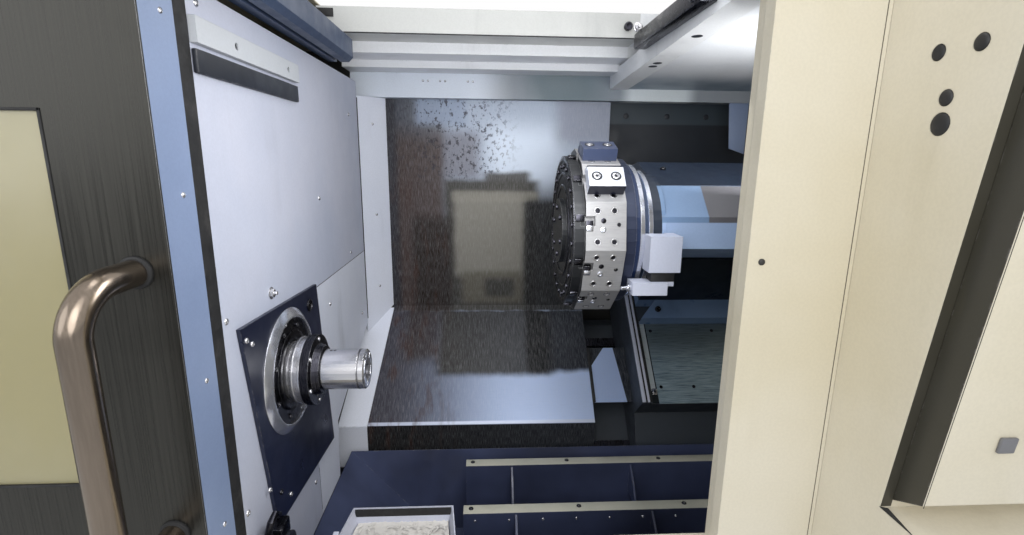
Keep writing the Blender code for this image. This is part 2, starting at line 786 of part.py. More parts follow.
def make_z_rails():
    for name, s in (("z_rail_lower", RAIL_LOWER_S), ("z_rail_upper", RAIL_UPPER_S)):
        low = BED_LIFT + GAP
        high = BED_LIFT + RAIL_HEIGHT
        half = RAIL_WIDTH / 2
        waist = half * RAIL_WAIST_SHARE
        foot = low + RAIL_HEIGHT * RAIL_FOOT_SHARE
        lip = high - RAIL_HEIGHT * RAIL_LIP_SHARE
        middle = (low + high) / 2
        outline = [
            (s - half, low), (s + half, low), (s + half, foot), (s + waist, middle), (s + half, lip),
            (s + half, high), (s - half, high), (s - half, lip), (s - waist, middle), (s - half, foot),
        ]
        add_part(slope_prism(name, outline, BED_LEFT_X, BED_RIGHT_X), "steel")


def make_headstock():
    front = HEADSTOCK_FRONT_X
    rear = front - HEADSTOCK_LENGTH
    half = HEADSTOCK_HALF
    edge = half - HEADSTOCK_CHAMFER
    outline = [
        (-half, -half), (half, -half), (half, edge), (edge, half), (-edge, half), (-half, edge)
    ]
    outline = [(SPINDLE_Y + y, SPINDLE_Z + z) for y, z in outline]
    head = prism("headstock", [outline], "X", rear, front)
    pedestal = box(
        "pedestal",
        (front - PEDESTAL_LENGTH, PEDESTAL_FRONT_Y, BASE_TOP + GAP),
        (front - OVERRUN, PEDESTAL_REAR_Y, SPINDLE_Z - half + OVERRUN),
    )
    boss = rod("boss", (SPINDLE_Y, SPINDLE_Z), BOSS_RADIUS, front - OVERRUN, WALL_X - GAP, ROUND)
    bore = rod("head_bore", (SPINDLE_Y, SPINDLE_Z), BEARING_RADIUS + GAP, rear - OVERRUN,
               WALL_X + OVERRUN, ROUND)
    cut(fuse(head, pedestal, boss), bore)
    add_part(head, "cast")


def make_bearings():
    """Two bearings as closed rings between the shaft and the headstock's bore."""
    inner = SPINDLE_RADIUS + GAP
    centre = (SPINDLE_Y, SPINDLE_Z)
    front = HEADSTOCK_FRONT_X - BEARING_WIDTH
    rear = HEADSTOCK_FRONT_X - HEADSTOCK_LENGTH + OVERRUN
    for name, low in (("front_bearing", front), ("rear_bearing", rear)):
        ring = tube_ring(name, centre, BEARING_RADIUS, inner, low, low + BEARING_WIDTH)
        add_part(ring, "steel")


def make_spindle():
    end = NOSE_END_X
    start = NOSE_START_X
    profile = [
        (end, NOSE_RADIUS), (NOSE_STEP_X, NOSE_RADIUS), (NOSE_STEP_X, NOSE_SHOULDER_RADIUS),
        (start, NOSE_SHOULDER_RADIUS), (start, SPINDLE_RADIUS), (SPINDLE_REAR_X, SPINDLE_RADIUS),
        (SPINDLE_REAR_X, SPINDLE_BORE), (end, SPINDLE_BORE),
    ]
    add_part(turned("spindle", profile, (SPINDLE_Y, SPINDLE_Z)), "steel", "spindle")


def make_mandrel_flange():
    start = NOSE_END_X + GAP
    step = start + FLANGE_THICK
    inner = MANDREL_RADIUS * FLANGE_BORE_SHARE
    profile = [
        (FLANGE_HUB_END_X, FLANGE_HUB_RADIUS * FLANGE_TAPER_SHARE), (step, FLANGE_HUB_RADIUS),
        (step, FLANGE_RADIUS), (start, FLANGE_RADIUS), (start, inner), (FLANGE_HUB_END_X, inner),
    ]
    add_part(turned("mandrel_flange", profile, (SPINDLE_Y, SPINDLE_Z)), "black_steel", "spindle")


def make_mandrel():
    start = FLANGE_HUB_END_X + GAP
    end = MANDREL_END_X
    lip = MANDREL_GROOVE
    floor = end - MANDREL_BORE_DEPTH
    profile = [
        (floor, 0), (floor, MANDREL_BORE), (end, MANDREL_BORE), (end, MANDREL_RADIUS - lip),
        (end - lip, MANDREL_RADIUS), (MANDREL_GROOVE_X, MANDREL_RADIUS),
        (MANDREL_GROOVE_X, MANDREL_RADIUS - lip), (MANDREL_GROOVE_X - lip, MANDREL_RADIUS - lip),
        (MANDREL_GROOVE_X - lip, MANDREL_RADIUS), (start, MANDREL_RADIUS), (start, 0),
    ]
    mandrel = turned("mandrel", profile, (SPINDLE_Y, SPINDLE_Z))
    reach = (MANDREL_BORE + MANDREL_RADIUS) / 2
    for i in range(JAW_COUNT // 2):
        angle = math.pi * i / (JAW_COUNT // 2)
        slot = box("jaw_slot", (end - MANDREL_BORE_DEPTH / 2, -reach, -JAW_SLOT / 2),
                   (end + OVERRUN, reach, JAW_SLOT / 2))
        slot.location += Vector((0, SPINDLE_Y, SPINDLE_Z))
        slot.rotation_euler.x = angle
        cut(mandrel, slot)
    add_part(mandrel, "steel", "spindle")


def pulley_profile(rear, front, radius, edge):
    rim = radius + PULLEY_RIM
    return [
        (front, rim), (front - edge, rim), (front - edge, radius), (rear + edge, radius),
        (rear + edge, rim), (rear, rim),
    ]


def make_drive():
    """Spindle pulley, motor, motor pulley with its shaft, and the flat belt round both pulleys."""
    rear = SPINDLE_REAR_X + OVERRUN
    front = rear + PULLEY_WIDTH
    edge = (PULLEY_WIDTH - BELT_WIDTH) / 2 - GAP
    inner = SPINDLE_RADIUS + GAP
    upper = pulley_profile(rear, front, PULLEY_RADIUS, edge) + [(rear, inner), (front, inner)]
    add_part(turned("spindle_pulley", upper, (SPINDLE_Y, SPINDLE_Z)), "black_steel", "spindle")
    centre = (SPINDLE_Y, MOTOR_Z)
    start = front + OVERRUN
    shaft_end = start + MOTOR_SHAFT_DEPTH
    lower = [(shaft_end, 0), (shaft_end, MOTOR_SHAFT), (front, MOTOR_SHAFT)]
    lower += pulley_profile(rear, front, MOTOR_PULLEY_RADIUS, edge) + [(rear, 0)]
    add_part(turned("motor_pulley", lower, centre), "black_steel", "motor")
    outline = ring_points(centre, MOTOR_HALF * MOTOR_CORNER_SHARE, MOTOR_SIDES, math.pi / MOTOR_SIDES)
    motor = prism("main_motor", [outline], "X", start, start + MOTOR_LENGTH)
    foot = box(
        "motor_foot", (start + OVERRUN, SPINDLE_Y - MOTOR_HALF, BASE_TOP + GAP),
        (start + MOTOR_LENGTH - OVERRUN, SPINDLE_Y + MOTOR_HALF, MOTOR_Z - MOTOR_HALF / 2),
    )
    bore = rod("motor_bore", centre, MOTOR_SHAFT + GAP, start - OVERRUN, shaft_end + GAP)
    add_part(cut(fuse(motor, foot), bore), "cast")
    make_belt(rear + edge + GAP, front - edge - GAP)


def belt_outline(extra):
    """The round-cornered outline of a belt that clears the pulleys by extra."""
    upper = PULLEY_RADIUS + extra
    lower = MOTOR_PULLEY_RADIUS + extra
    lean = math.asin((upper - lower) / (SPINDLE_Z - MOTOR_Z))
    count = SMALL_ROUND
    spread = 1 / math.cos(math.pi / count / 2)
    top = [-lean + (math.pi + 2 * lean) * i / count for i in range(count + 1)]
    bottom = [math.pi + lean + (math.pi - 2 * lean) * i / count for i in range(count + 1)]
    upper *= spread
    lower *= spread
    points = [(SPINDLE_Y + upper * math.cos(a), SPINDLE_Z + upper * math.sin(a)) for a in top]
    points += [(SPINDLE_Y + lower * math.cos(a), MOTOR_Z + lower * math.sin(a)) for a in bottom]
    return points


def make_belt(start, end):
    loops = [belt_outline(GAP + BELT_THICK), belt_outline(GAP)]
    add_part(prism("drive_belt", loops, "X", start, end), "rubber")


def make_spindle_guard():
    """The dark plate, its bevelled ring and the seal disc inside the ring."""
    centre = (SPINDLE_Y, SPINDLE_Z)
    corners = [
        (SPINDLE_Y + y * PLATE_WIDTH, SPINDLE_Z + z * PLATE_HEIGHT) for y, z in PLATE_CORNER_SHARES
    ]
    hole = ring_points(centre, PLATE_HOLE, ROUND)
    end = PLATE_X + PLATE_THICK
    plate = prism("guard_plate", [corners, hole], "X", PLATE_X, end)
    add_part(plate, "navy")
    start = end + GAP
    top = start + RING_DEPTH
    profile = [
        (top, RING_RADIUS - RING_BEVEL_WIDTH), (top - RING_BEVEL, RING_RADIUS), (start, RING_RADIUS),
        (start, RING_INNER), (top, RING_INNER),
    ]
    add_part(turned("spindle_ring", profile, centre), "steel")
    disc = tube_ring("seal_disc", centre, RING_INNER - GAP, NOSE_SHOULDER_RADIUS + GAP, start,
                     start + DISC_THICK)
    add_part(disc, "black_steel")


def make_left_wall():
    """The inner wall by the spindle: two sheets that meet in a seam, and the corner strips."""
    rear = WALL_REAR_Y
    low, high = WALL_X - SHEET, WALL_X
    seam = WALL_SEAM_Z
    boss = ring_points((SPINDLE_Y, SPINDLE_Z), BOSS_RADIUS + GAP, ROUND)
    split = WALL_SEAM_Y
    upper = [
        (WALL_FRONT_Y, WALL_LOW), (split, WALL_LOW), (split, seam), (rear, seam), (rear, WALL_TOP),
        (WALL_FRONT_Y, WALL_TOP),
    ]
    add_part(prism("wall_upper_sheet", [upper, boss], "X", low, high), "pale")
    lower = [
        (split + SEAM, WALL_LOW), (WALL_FOOT_Y, WALL_LOW), (WALL_HEEL_Y, WALL_HEEL_Z),
        (rear, WALL_CUT_Z), (rear, seam - SEAM), (split + SEAM, seam - SEAM),
    ]
    add_part(prism("wall_lower_sheet", [lower], "X", low, high), "pale")
    reach = BACK_Y - rear
    corner = [
        (low, rear + SEAM), (high, rear + SEAM), (high + reach - SEAM, BACK_Y - SEAM * 2),
        (high + reach - SEAM - SHEET, BACK_Y - SEAM * 2), (low, rear + SEAM + SHEET),
    ]
    panel = prism("corner_panel", [corner], "Z", LIP_Z, BACK_TOP)
    clear = FILLER_CLEAR + SHEET + GAP
    far = FILLER_HIGH_S + reach
    below = [(0, -LIP_Z), (far, -LIP_Z), (far, clear), (0, clear)]
    cut(panel, slope_prism("corner_trim", below, low - OVERRUN, high + reach + OVERRUN))
    add_part(panel, "pale")


def make_filler():
    """The pale strip beside the slanted cover, and its apron in front of the cover's lip."""
    high = FILLER_HIGH_S
    loop = [
        (FILLER_LEFT_LOW_X, -SHEET), (FILLER_RIGHT_LOW_X, -SHEET), (FILLER_RIGHT_HIGH_X, high),
        (FILLER_LEFT_HIGH_X, high),
    ]
    strip = slope_plate("filler_panel", [loop], FILLER_CLEAR, FILLER_CLEAR + SHEET)
    rear = LIP_Y - FILLER_CLEAR - SHEET
    apron = box(
        "apron", (FILLER_LEFT_LOW_X, rear - SHEET, LIP_Z - FILLER_DROP),
        (FILLER_RIGHT_LOW_X, rear, LIP_Z),
    )
    add_part(fuse(strip, apron), "pale")


def make_door():
    top = HEADER_LOW - GAP
    low = SILL_Z + GAP
    rear = DOOR_REAR_Y
    skin = FRONT_Y + SHEET
    left = WALL_X - WINDOW_LEFT_INSET - WINDOW_WIDTH
    window_high = WINDOW_LOW + WINDOW_HEIGHT
    window = [
        (WINDOW_LOW, left), (WINDOW_LOW, left + WINDOW_WIDTH), (window_high, left + WINDOW_WIDTH),
        (window_high, left),
    ]
    outer = [(low, DOOR_LEFT_X), (low, WALL_X), (top, WALL_X), (top, DOOR_LEFT_X)]
    panel = prism("door_panel", [outer, window], "Y", FRONT_Y, skin)
    add_part(panel, "black_steel", "door")
    edge = DOOR_MEMBER
    inner = [
        (low + edge, DOOR_LEFT_X + edge), (low + edge, WALL_X - edge), (top - edge, WALL_X - edge),
        (top - edge, DOOR_LEFT_X + edge),
    ]
    frame = prism("door_frame", [outer, inner], "Y", skin + GAP, rear)
    add_part(frame, "blue_grey", "door")
    lap = WINDOW_LAP
    pane = box("door_window", (left - lap, skin + GAP, WINDOW_LOW - lap),
               (left + WINDOW_WIDTH + lap, skin + GAP + PANE, window_high + lap))
    add_part(pane, "glass", "door")
    make_handle()


def make_handle():
    """A bent tube that stands off the door, with both ends square to the door."""
    x = WALL_X - HANDLE_X_INSET
    start = FRONT_Y - GAP
    reach = HANDLE_STAND_OFF
    bend = HANDLE_BEND
    top = HANDLE_LOW + HANDLE_LENGTH
    points = [(x, start, top)]
    for i in range(HANDLE_STEPS + 1):
        share = i / HANDLE_STEPS
        a = math.pi / 2 * share
        y = start - reach + bend * (1 - math.sin(a))
        points.append((x - HANDLE_LEAN * share, y, top - bend * (1 - math.cos(a))))
    lower = [(px, py, HANDLE_LOW + top - pz) for px, py, pz in reversed(points)]
    curve = bpy.data.curves.new("door_handle", "CURVE")
    curve.dimensions = "3D"
    curve.bevel_depth = HANDLE_RADIUS
    curve.bevel_resolution = HANDLE_STEPS // 2
    curve.use_fill_caps = True
    spline = curve.splines.new("POLY")
    route = points + lower
    spline.points.add(len(route) - 1)
    for point, place in zip(spline.points, route):
        point.co = (*place, 1)
    handle = welded_mesh(bpy.data.objects.new("door_handle", curve), "door_handle")
    add_part(handle, "steel", "door")


def make_door_seal():
    seal = box(
        "door_seal", (WALL_X - SEAL_WIDTH, DOOR_REAR_Y + GAP, SILL_Z + GAP),
        (WALL_X, WALL_FRONT_Y - GAP, WALL_TOP),
    )
    add_part(seal, "rubber")


def make_front():
    """The fixed front sheets: lower front with its sill, left panel, right panel and header."""
    outer = FRONT_Y
    inner = outer + SHEET
    shelf = WALL_FRONT_Y - GAP - SHEET
    sill = [
        (outer, BASE_LOW), (inner, BASE_LOW), (inner, SILL_Z - SHEET), (shelf, SILL_Z - SHEET),
        (shelf, WALL_LOW), (shelf + SHEET, WALL_LOW), (shelf + SHEET, SILL_Z), (outer, SILL_Z),
    ]
    lower = prism("front_lower_panel", [sill], "X", -SIDE_IN, CONSOLE_X - GAP)
    under = box("under_console", (CONSOLE_X - OVERRUN, outer, BASE_LOW),
                (SIDE_IN, inner, CONSOLE_LOW - GAP))
    add_part(fuse(lower, under), "cream")
    rear = CONSOLE_REAR_Y + GAP
    left = box("front_left_panel", (-SIDE_IN, rear, SILL_Z + GAP),
               (WALL_X - SEAL_WIDTH - GAP, rear + SHEET, HEIGHT - SHEET - GAP))
    add_part(left, "cream")
    edge = OPENING_RIGHT
    back = outer + RETURN_DEPTH
    fold = [
        (CONSOLE_X - GAP, outer), (edge, outer), (edge, back), (edge + RETURN_WIDTH, back),
        (edge + RETURN_WIDTH, DOOR_REAR_Y), (edge + RETURN_WIDTH + SHEET, DOOR_REAR_Y),
        (edge + RETURN_WIDTH + SHEET, back - SHEET), (edge + SHEET, back - SHEET),
        (edge + SHEET, inner), (CONSOLE_X - GAP, inner),
    ]
    right = prism("front_right_panel", [fold], "Z", SILL_Z + GAP, HEADER_LOW - GAP)
    add_part(right, "cream")
    top = HEIGHT - SHEET - GAP
    bent = [
        (outer, HEADER_LOW), (CONSOLE_REAR_Y, HEADER_LOW), (CONSOLE_REAR_Y, HEADER_LOW + RETURN_WIDTH),
        (CONSOLE_REAR_Y - SHEET, HEADER_LOW + RETURN_WIDTH), (CONSOLE_REAR_Y - SHEET, HEADER_LOW + SHEET),
        (inner, HEADER_LOW + SHEET), (inner, top - SHEET), (CONSOLE_REAR_Y, top - SHEET),
        (CONSOLE_REAR_Y, top), (outer, top),
    ]
    add_part(prism("front_header", [bent], "X", -SIDE_IN, CONSOLE_X - GAP), "cream")


def make_shells():
    """End sheets that fold over into the roof on both sides of the roof opening, and the rear."""
    for name, side, edge in (("left_shell", -1, ROOF_LEFT_EDGE_X), ("right_shell", 1, ROOF_RIGHT_EDGE_X)):
        outline = [
            (BASE_LOW, side * HALF), (HEIGHT, side * HALF), (HEIGHT, edge), (HEIGHT - SHEET, edge),
            (HEIGHT - SHEET, side * (HALF - SHEET)), (BASE_LOW, side * (HALF - SHEET)),
        ]
        add_part(prism(name, [outline], "Y", FRONT_Y, REAR - SHEET - GAP), "cream")
    rear = box("rear_panel", (-HALF, REAR - SHEET, BASE_LOW), (HALF, REAR, HEIGHT))
    slots = []
    for bank in (-1, 1):
        for row in range(LOUVRE_COUNT):
            z = LOUVRE_LOW + row * LOUVRE_PITCH
            x = bank * LENGTH / 4
            slots.append(box("louvre", (x - LOUVRE_LENGTH / 2, REAR - SHEET - OVERRUN, z),
                             (x + LOUVRE_LENGTH / 2, REAR + OVERRUN, z + LOUVRE_HEIGHT)))
    add_part(cut(rear, joined("louvres", slots)), "cream")


def make_roof():
    """Stepped beams at the back, the header under them and two rails that run to the front."""
    a, b = STEP_FRONT_Y, STEP_FRONT_Y + BEAM_DEPTH
    c = b + BEAM_DEPTH
    rear = c + BEAM_C_DEPTH
    header_rear = rear + REAR_HEADER_DEPTH
    profile = [
        (a, BEAM_A_LOW), (b, BEAM_A_LOW), (b, BEAM_B_LOW), (c, BEAM_B_LOW), (c, BEAM_C_LOW),
        (rear, BEAM_C_LOW), (rear, BACK_TOP + GAP * 2), (header_rear, BACK_TOP + GAP * 2),
        (header_rear, HEIGHT - SHEET - GAP), (rear, HEIGHT - SHEET - GAP), (rear, BEAM_A_TOP),
        (a, BEAM_A_TOP),
    ]
    steps = prism("rear_roof_beams", [profile], "X", STEP_LEFT_X, STEP_RIGHT_X)
    header = box("rear_header", (STEP_RIGHT_X - OVERRUN, rear, BACK_TOP + GAP * 2),
                 (SIDE_IN, header_rear, HEIGHT - SHEET - GAP))
    add_part(fuse(steps, header), "pale")
    width = ROOF_RAIL_LEFT_WIDTH
    low, high = ROOF_RAIL_LEFT_LOW, ROOF_RAIL_LEFT_LOW + ROOF_RAIL_LEFT_HEIGHT
    groove = ROOF_RAIL_GROOVE
    left = WALL_X - SHEET
    section = [
        (low, left), (low, left + width / 3), (low + groove, left + width / 3),
        (low + groove, left + width / 2), (low, left + width / 2), (low, left + width - groove),
        (low + groove, left + width), (high, left + width), (high, left),
    ]
    front = CONSOLE_REAR_Y + GAP
    add_part(prism("roof_rail_left", [section], "Y", front, a - GAP), "blue_grey")
    x = ROOF_RAIL_RIGHT_X
    height = ROOF_RAIL_RIGHT_HEIGHT
    drop = (ROOF_RAIL_RIGHT_FRONT_Z - ROOF_RAIL_RIGHT_REAR_Z) * (c - front) / (rear - front)
    side = [
        (front, ROOF_RAIL_RIGHT_FRONT_Z), (rear - GAP, ROOF_RAIL_RIGHT_REAR_Z),
        (rear - GAP, BEAM_C_LOW - GAP), (c - GAP, BEAM_C_LOW - GAP),
        (c - GAP, ROOF_RAIL_RIGHT_FRONT_Z + height - drop), (front, ROOF_RAIL_RIGHT_FRONT_Z + height),
    ]
    add_part(prism("roof_rail_right", [side], "X", x, x + ROOF_RAIL_RIGHT_WIDTH), "pale")


def make_lamp_bracket():
    low, high = LAMP_LOW, LAMP_LOW + LAMP_HEIGHT
    length = LAMP_REAR_Y - WALL_FRONT_Y
    outline = [(WALL_FRONT_Y, low), (LAMP_REAR_Y, low), (LAMP_REAR_Y, high), (WALL_FRONT_Y, high)]
    holes = [
        ring_points((WALL_FRONT_Y + length * share, (low + high) / 2), LAMP_HOLE, SMALL_ROUND)
        for share in LAMP_HOLE_SHARES
    ]
    bracket = prism("lamp_bracket", [outline, *holes], "X", WALL_X + GAP, WALL_X + LAMP_THICK)
    add_part(bracket, "pale")


def make_recess_panel():
    top = HEIGHT - SHEET - GAP
    outline = [
        (RECESS_LOW, RECESS_LEFT_X), (RECESS_LOW, SIDE_IN), (top, SIDE_IN), (top, RECESS_LEFT_X)
    ]
    holes = [
        ring_points((RECESS_HOLE_Z, RECESS_HOLE_X + i * RECESS_HOLE_PITCH), RECESS_HOLE, SMALL_ROUND)
        for i in range(RECESS_HOLE_COUNT)
    ]
    panel = prism("recess_panel", [outline, *holes], "Y", RECESS_Y, RECESS_Y + SHEET)
    add_part(panel, "dark")


def make_pan():
    """The chip pan: an open funnel of sheet metal, thickened outwards."""
    mesh = bpy.data.meshes.new("chip_pan")
    shape = bmesh.new()
    left, right = WALL_X + GAP, PAN_RIGHT_X
    front, rear = WALL_FRONT_Y + GAP, PAN_REAR_Y
    rim = [(left, front), (right, front), (right, rear), (left, rear)]
    runs = (PAN_LEFT_RUN, PAN_FRONT_RUN, PAN_RIGHT_RUN, PAN_REAR_RUN)
    floor = [
        (left + runs[0], front + runs[1]), (right - runs[2], front + runs[1]),
        (right - runs[2], rear - runs[3]), (left + runs[0], rear - runs[3]),
    ]
    top = [shape.verts.new((x, y, PAN_RIM_Z)) for x, y in rim]
    low = [shape.verts.new((x, y, PAN_FLOOR)) for x, y in floor]
    for i in range(4):
        j = (i + 1) % 4
        shape.faces.new((top[i], low[i], low[j], top[j]))
    shape.faces.new(low[::-1])
    bmesh.ops.recalc_face_normals(shape, faces=shape.faces)
    shape.to_mesh(mesh)
    shape.free()
    pan = bpy.data.objects.new("chip_pan", mesh)
    wall = pan.modifiers.new("Solidify", "SOLIDIFY")
    wall.thickness = SHEET
    wall.offset = PAN_WALL_SIDE
    wall.use_even_offset = True
    add_part(pan, "navy")


def make_troughs():
    """Two upright plates with pale flanges on top, and gussets that brace them."""
    floor = PAN_FLOOR + GAP
    top = TROUGH_TOP
    plate = TROUGH_PLATE
    for name, y in (("trough_wall_rear", TROUGH_REAR_Y), ("trough_wall_front", TROUGH_FRONT_Y)):
        outline = [
            (y, floor), (y + plate, floor), (y + plate, top - plate),
            (y + TROUGH_FLANGE, top - plate), (y + TROUGH_FLANGE, top), (y, top),
        ]
        wall = prism(name, [outline], "X", TROUGH_LEFT_X, TROUGH_RIGHT_X)
        brace = [
            (y + plate / 2, top - GUSSET_DROP), (y + plate / 2, top - plate / 2),
            (y - GUSSET_RUN / 2, top - GUSSET_RISE), (y - GUSSET_RUN, top - GUSSET_DROP),
        ]
        for i in range(GUSSET_COUNT):
            x = GUSSET_X + i * GUSSET_PITCH
            fuse(wall, prism("gusset", [brace], "X", x, x + plate))
        add_part(wall, "navy")


def make_tray():
    """The parts tray: a flared open box on an arm from its pivot bar."""
    left, right = TRAY_X, TRAY_X + TRAY_WIDTH
    rear, front = TRAY_REAR_Y, TRAY_REAR_Y - TRAY_LENGTH
    top, low = TRAY_RIM_Z, TRAY_RIM_Z - TRAY_DEPTH
    flare = TRAY_FLARE
    mesh = bpy.data.meshes.new("parts_tray")
    shape = bmesh.new()
    rim = [(left - flare, front), (right + flare, front), (right, rear), (left, rear)]
    floor = [(left, front + flare), (right, front + flare), (right - flare, rear - flare),
             (left + flare, rear - flare)]
    high_ring = [shape.verts.new((x, y, top)) for x, y in rim]
    low_ring = [shape.verts.new((x, y, low)) for x, y in floor]
    for i in range(4):
        j = (i + 1) % 4
        shape.faces.new((high_ring[i], low_ring[i], low_ring[j], high_ring[j]))
    shape.faces.new(low_ring[::-1])
    bmesh.ops.recalc_face_normals(shape, faces=shape.faces)
    shape.to_mesh(mesh)
    shape.free()
    tray = bpy.data.objects.new("parts_tray", mesh)
    wall = tray.modifiers.new("Solidify", "SOLIDIFY")
    wall.thickness = TRAY_SHEET
    wall.offset = PAN_WALL_SIDE
    wall.use_even_offset = True
    end = ARM_LEFT_X + ARM_THICK
    arm = box("tray_arm", (ARM_LEFT_X, PIVOT_Y - ARM_HALF, PIVOT_Z - ARM_DROP),
              (end, PIVOT_Y + ARM_HALF, PIVOT_Z + ARM_HALF))
    bar = rod("pivot_bar", (PIVOT_Y, PIVOT_Z), PIVOT_RADIUS, WALL_X + BAR_INSET, end - SHEET)
    add_part(fuse(tray, arm, bar), "pale", "tray")
    boss = tube_ring("tray_bearing", (PIVOT_Y, PIVOT_Z), PIVOT_BOSS, PIVOT_RADIUS + GAP, PLATE_X,
                     PLATE_X + PIVOT_BOSS_LENGTH, SMALL_ROUND)
    add_part(boss, "dark")


def make_cover():
    """The sheet behind and below the work area: back, 45 degree slope, lip, and a wing to the saddle."""
    bend = SHEET * math.tan(math.pi / 8)
    high = BACK_Y - LIP_Y + LIP_Z
    profile = [
        (LIP_Y, LIP_Z - LIP_DROP), (LIP_Y + SHEET, LIP_Z - LIP_DROP), (LIP_Y + SHEET, LIP_Z - bend),
        (BACK_Y + SHEET, high - bend), (BACK_Y + SHEET, BACK_TOP), (BACK_Y, BACK_TOP), (BACK_Y, high),
        (LIP_Y, LIP_Z),
    ]
    cover = prism("carriage_cover", [profile], "X", COVER_LEFT_X, COVER_RIGHT_X)
    side_start = (COVER_RIGHT_X - OVERRUN, BACK_Y, high)
    side = box("cover_side", side_start, (BACK_RIGHT_X, BACK_Y + SHEET, BACK_TOP))
    wing = slope_plate(
        "cover_wing",
        [[(WING_LEFT_X, WING_LOW_S), (SADDLE_LEFT_X - GAP, WING_LOW_S),
          (SADDLE_LEFT_X - GAP, WING_HIGH_S), (WING_LEFT_X, WING_HIGH_S)]],
        -2 * SHEET, WING_LAP - SHEET,
    )
    add_part(fuse(cover, side, wing), "stainless", "carriage")


def make_saddle():
    """The saddle that runs on the bed's rails, with its wiper strip, channel and screw bore."""
    foot = BED_LIFT + RAIL_HEIGHT + GAP
    shelf = SADDLE_TOP_LIFT - SADDLE_PLATE_THICK - GAP
    under = [
        (SADDLE_LOW_S, 0), (SADDLE_TOE_S, SADDLE_TOE_LIFT), (SADDLE_TOE_S, foot), (SADDLE_HEEL_S, foot),
        (SADDLE_HIGH_S, SADDLE_TAIL_LIFT),
    ]
    strip = SADDLE_TOP_LIFT + WIPER_RISE
    side = SADDLE_LEFT_X + WIPER_WIDTH
    saddle = slope_prism(
        "saddle", under + [(SADDLE_HIGH_S, strip), (SADDLE_LOW_S, strip)], SADDLE_LEFT_X, SADDLE_RIGHT_X
    )
    past = SADDLE_HIGH_S + OVERRUN
    seat = [
        (SADDLE_LOW_S - OVERRUN, shelf), (SADDLE_PLATE_S + GAP, shelf),
        (SADDLE_PLATE_S + GAP, SADDLE_TOP_LIFT),
        (past, SADDLE_TOP_LIFT), (past, strip + OVERRUN), (SADDLE_LOW_S - OVERRUN, strip + OVERRUN),
    ]
    ledge = slope_prism("saddle_ledge", seat, side, SADDLE_RIGHT_X + OVERRUN)
    channel = slope_prism(
        "screw_channel",
        [(X_CHANNEL_LOW_S, SADDLE_TOP_LIFT - X_CHANNEL_DEPTH), (past, SADDLE_TOP_LIFT - X_CHANNEL_DEPTH),
         (past, SADDLE_TOP_LIFT + OVERRUN), (X_CHANNEL_LOW_S, SADDLE_TOP_LIFT + OVERRUN)],
        X_SCREW_X - X_CHANNEL_HALF, X_SCREW_X + X_CHANNEL_HALF,
    )
    bore = rod("screw_bore", slope(SCREW_S, SCREW_LIFT), SCREW_RADIUS + GAP, SADDLE_LEFT_X - OVERRUN,
               SADDLE_RIGHT_X + OVERRUN)
    add_part(cut(saddle, ledge, channel, bore), "cast", "carriage")
    low, high = shelf + GAP, SADDLE_TOP_LIFT - GAP
    outline = [(SADDLE_LOW_S, low), (SADDLE_PLATE_S, low), (SADDLE_PLATE_S, high), (SADDLE_LOW_S, high)]
    plate = slope_prism("saddle_plate", outline, side + GAP, SADDLE_RIGHT_X)
    add_part(plate, "stainless", "carriage")


def make_screws():
    """Both feed screws and their servo motors."""
    centre = slope(SCREW_S, SCREW_LIFT)
    screw = rod("z_screw", centre, SCREW_RADIUS, BED_LEFT_X, BED_RIGHT_X)
    add_part(screw, "steel", "z_screw")
    half = SERVO_HALF
    start = BED_RIGHT_X + GAP
    square = [
        (SCREW_S - half, SCREW_LIFT - half), (SCREW_S + half, SCREW_LIFT - half),
        (SCREW_S + half, SCREW_LIFT + half), (SCREW_S - half, SCREW_LIFT + half),
    ]
    add_part(slope_prism("z_motor", square, start, start + SERVO_LENGTH), "dark")
    low, high = X_SCREW_LOW_S, SADDLE_HIGH_S
    middle = (X_SCREW_X, *slope((low + high) / 2, X_SCREW_LIFT))
    direction = Vector((0, 1, 1))
    feed = peg("x_screw", middle, direction, X_SCREW_RADIUS, high - low, SMALL_ROUND)
    add_part(feed, "steel", "x_screw")
    start = SADDLE_HIGH_S + GAP
    side = [
        (start, X_SCREW_LIFT - half), (start + SERVO_LENGTH, X_SCREW_LIFT - half),
        (start + SERVO_LENGTH, X_SCREW_LIFT + half), (start, X_SCREW_LIFT + half),
    ]
    add_part(slope_prism("x_motor", side, X_SCREW_X - half, X_SCREW_X + half), "dark", "carriage")


def make_cross_slide():
    low = SADDLE_TOP_LIFT + GAP
    right = SADDLE_RIGHT_X
    left = SLIDE_LEFT_X
    outline = [
        (SLIDE_STEP_S, low), (SLIDE_TOP_S, low), (SLIDE_TOP_S, SLIDE_TOP_LIFT), (SLIDE_STEP_S, SLIDE_TOP_LIFT)
    ]
    slide = slope_prism("cross_slide", outline, left, right)
    strip = [
        (left, SLIDE_FOOT_S), (right, SLIDE_FOOT_S), (right, SLIDE_STEP_S + OVERRUN),
        (left + SLIDE_CHAMFER, SLIDE_STEP_S + OVERRUN), (left + SLIDE_CHAMFER, SLIDE_STEP_S),
    ]
    toe = slope_plate("slide_toe", [strip], low, SLIDE_FOOT_LIFT)
    reach = X_NUT_HALF
    start, end = X_NUT_S, X_NUT_S + X_NUT_LENGTH
    lug = slope_prism(
        "feed_nut",
        [
            (start, X_SCREW_LIFT - reach), (end, X_SCREW_LIFT - reach),
            (end, low + OVERRUN), (start, low + OVERRUN),
        ],
        X_SCREW_X - reach, X_SCREW_X + reach,
    )
    middle = (X_SCREW_X, *slope((start + end) / 2, X_SCREW_LIFT))
    bore = peg("nut_bore", middle, Vector((0, 1, 1)), X_SCREW_RADIUS + GAP, end - start + OVERRUN,
               SMALL_ROUND)
    add_part(cut(fuse(slide, toe, lug), bore), "blue_grey", "cross")


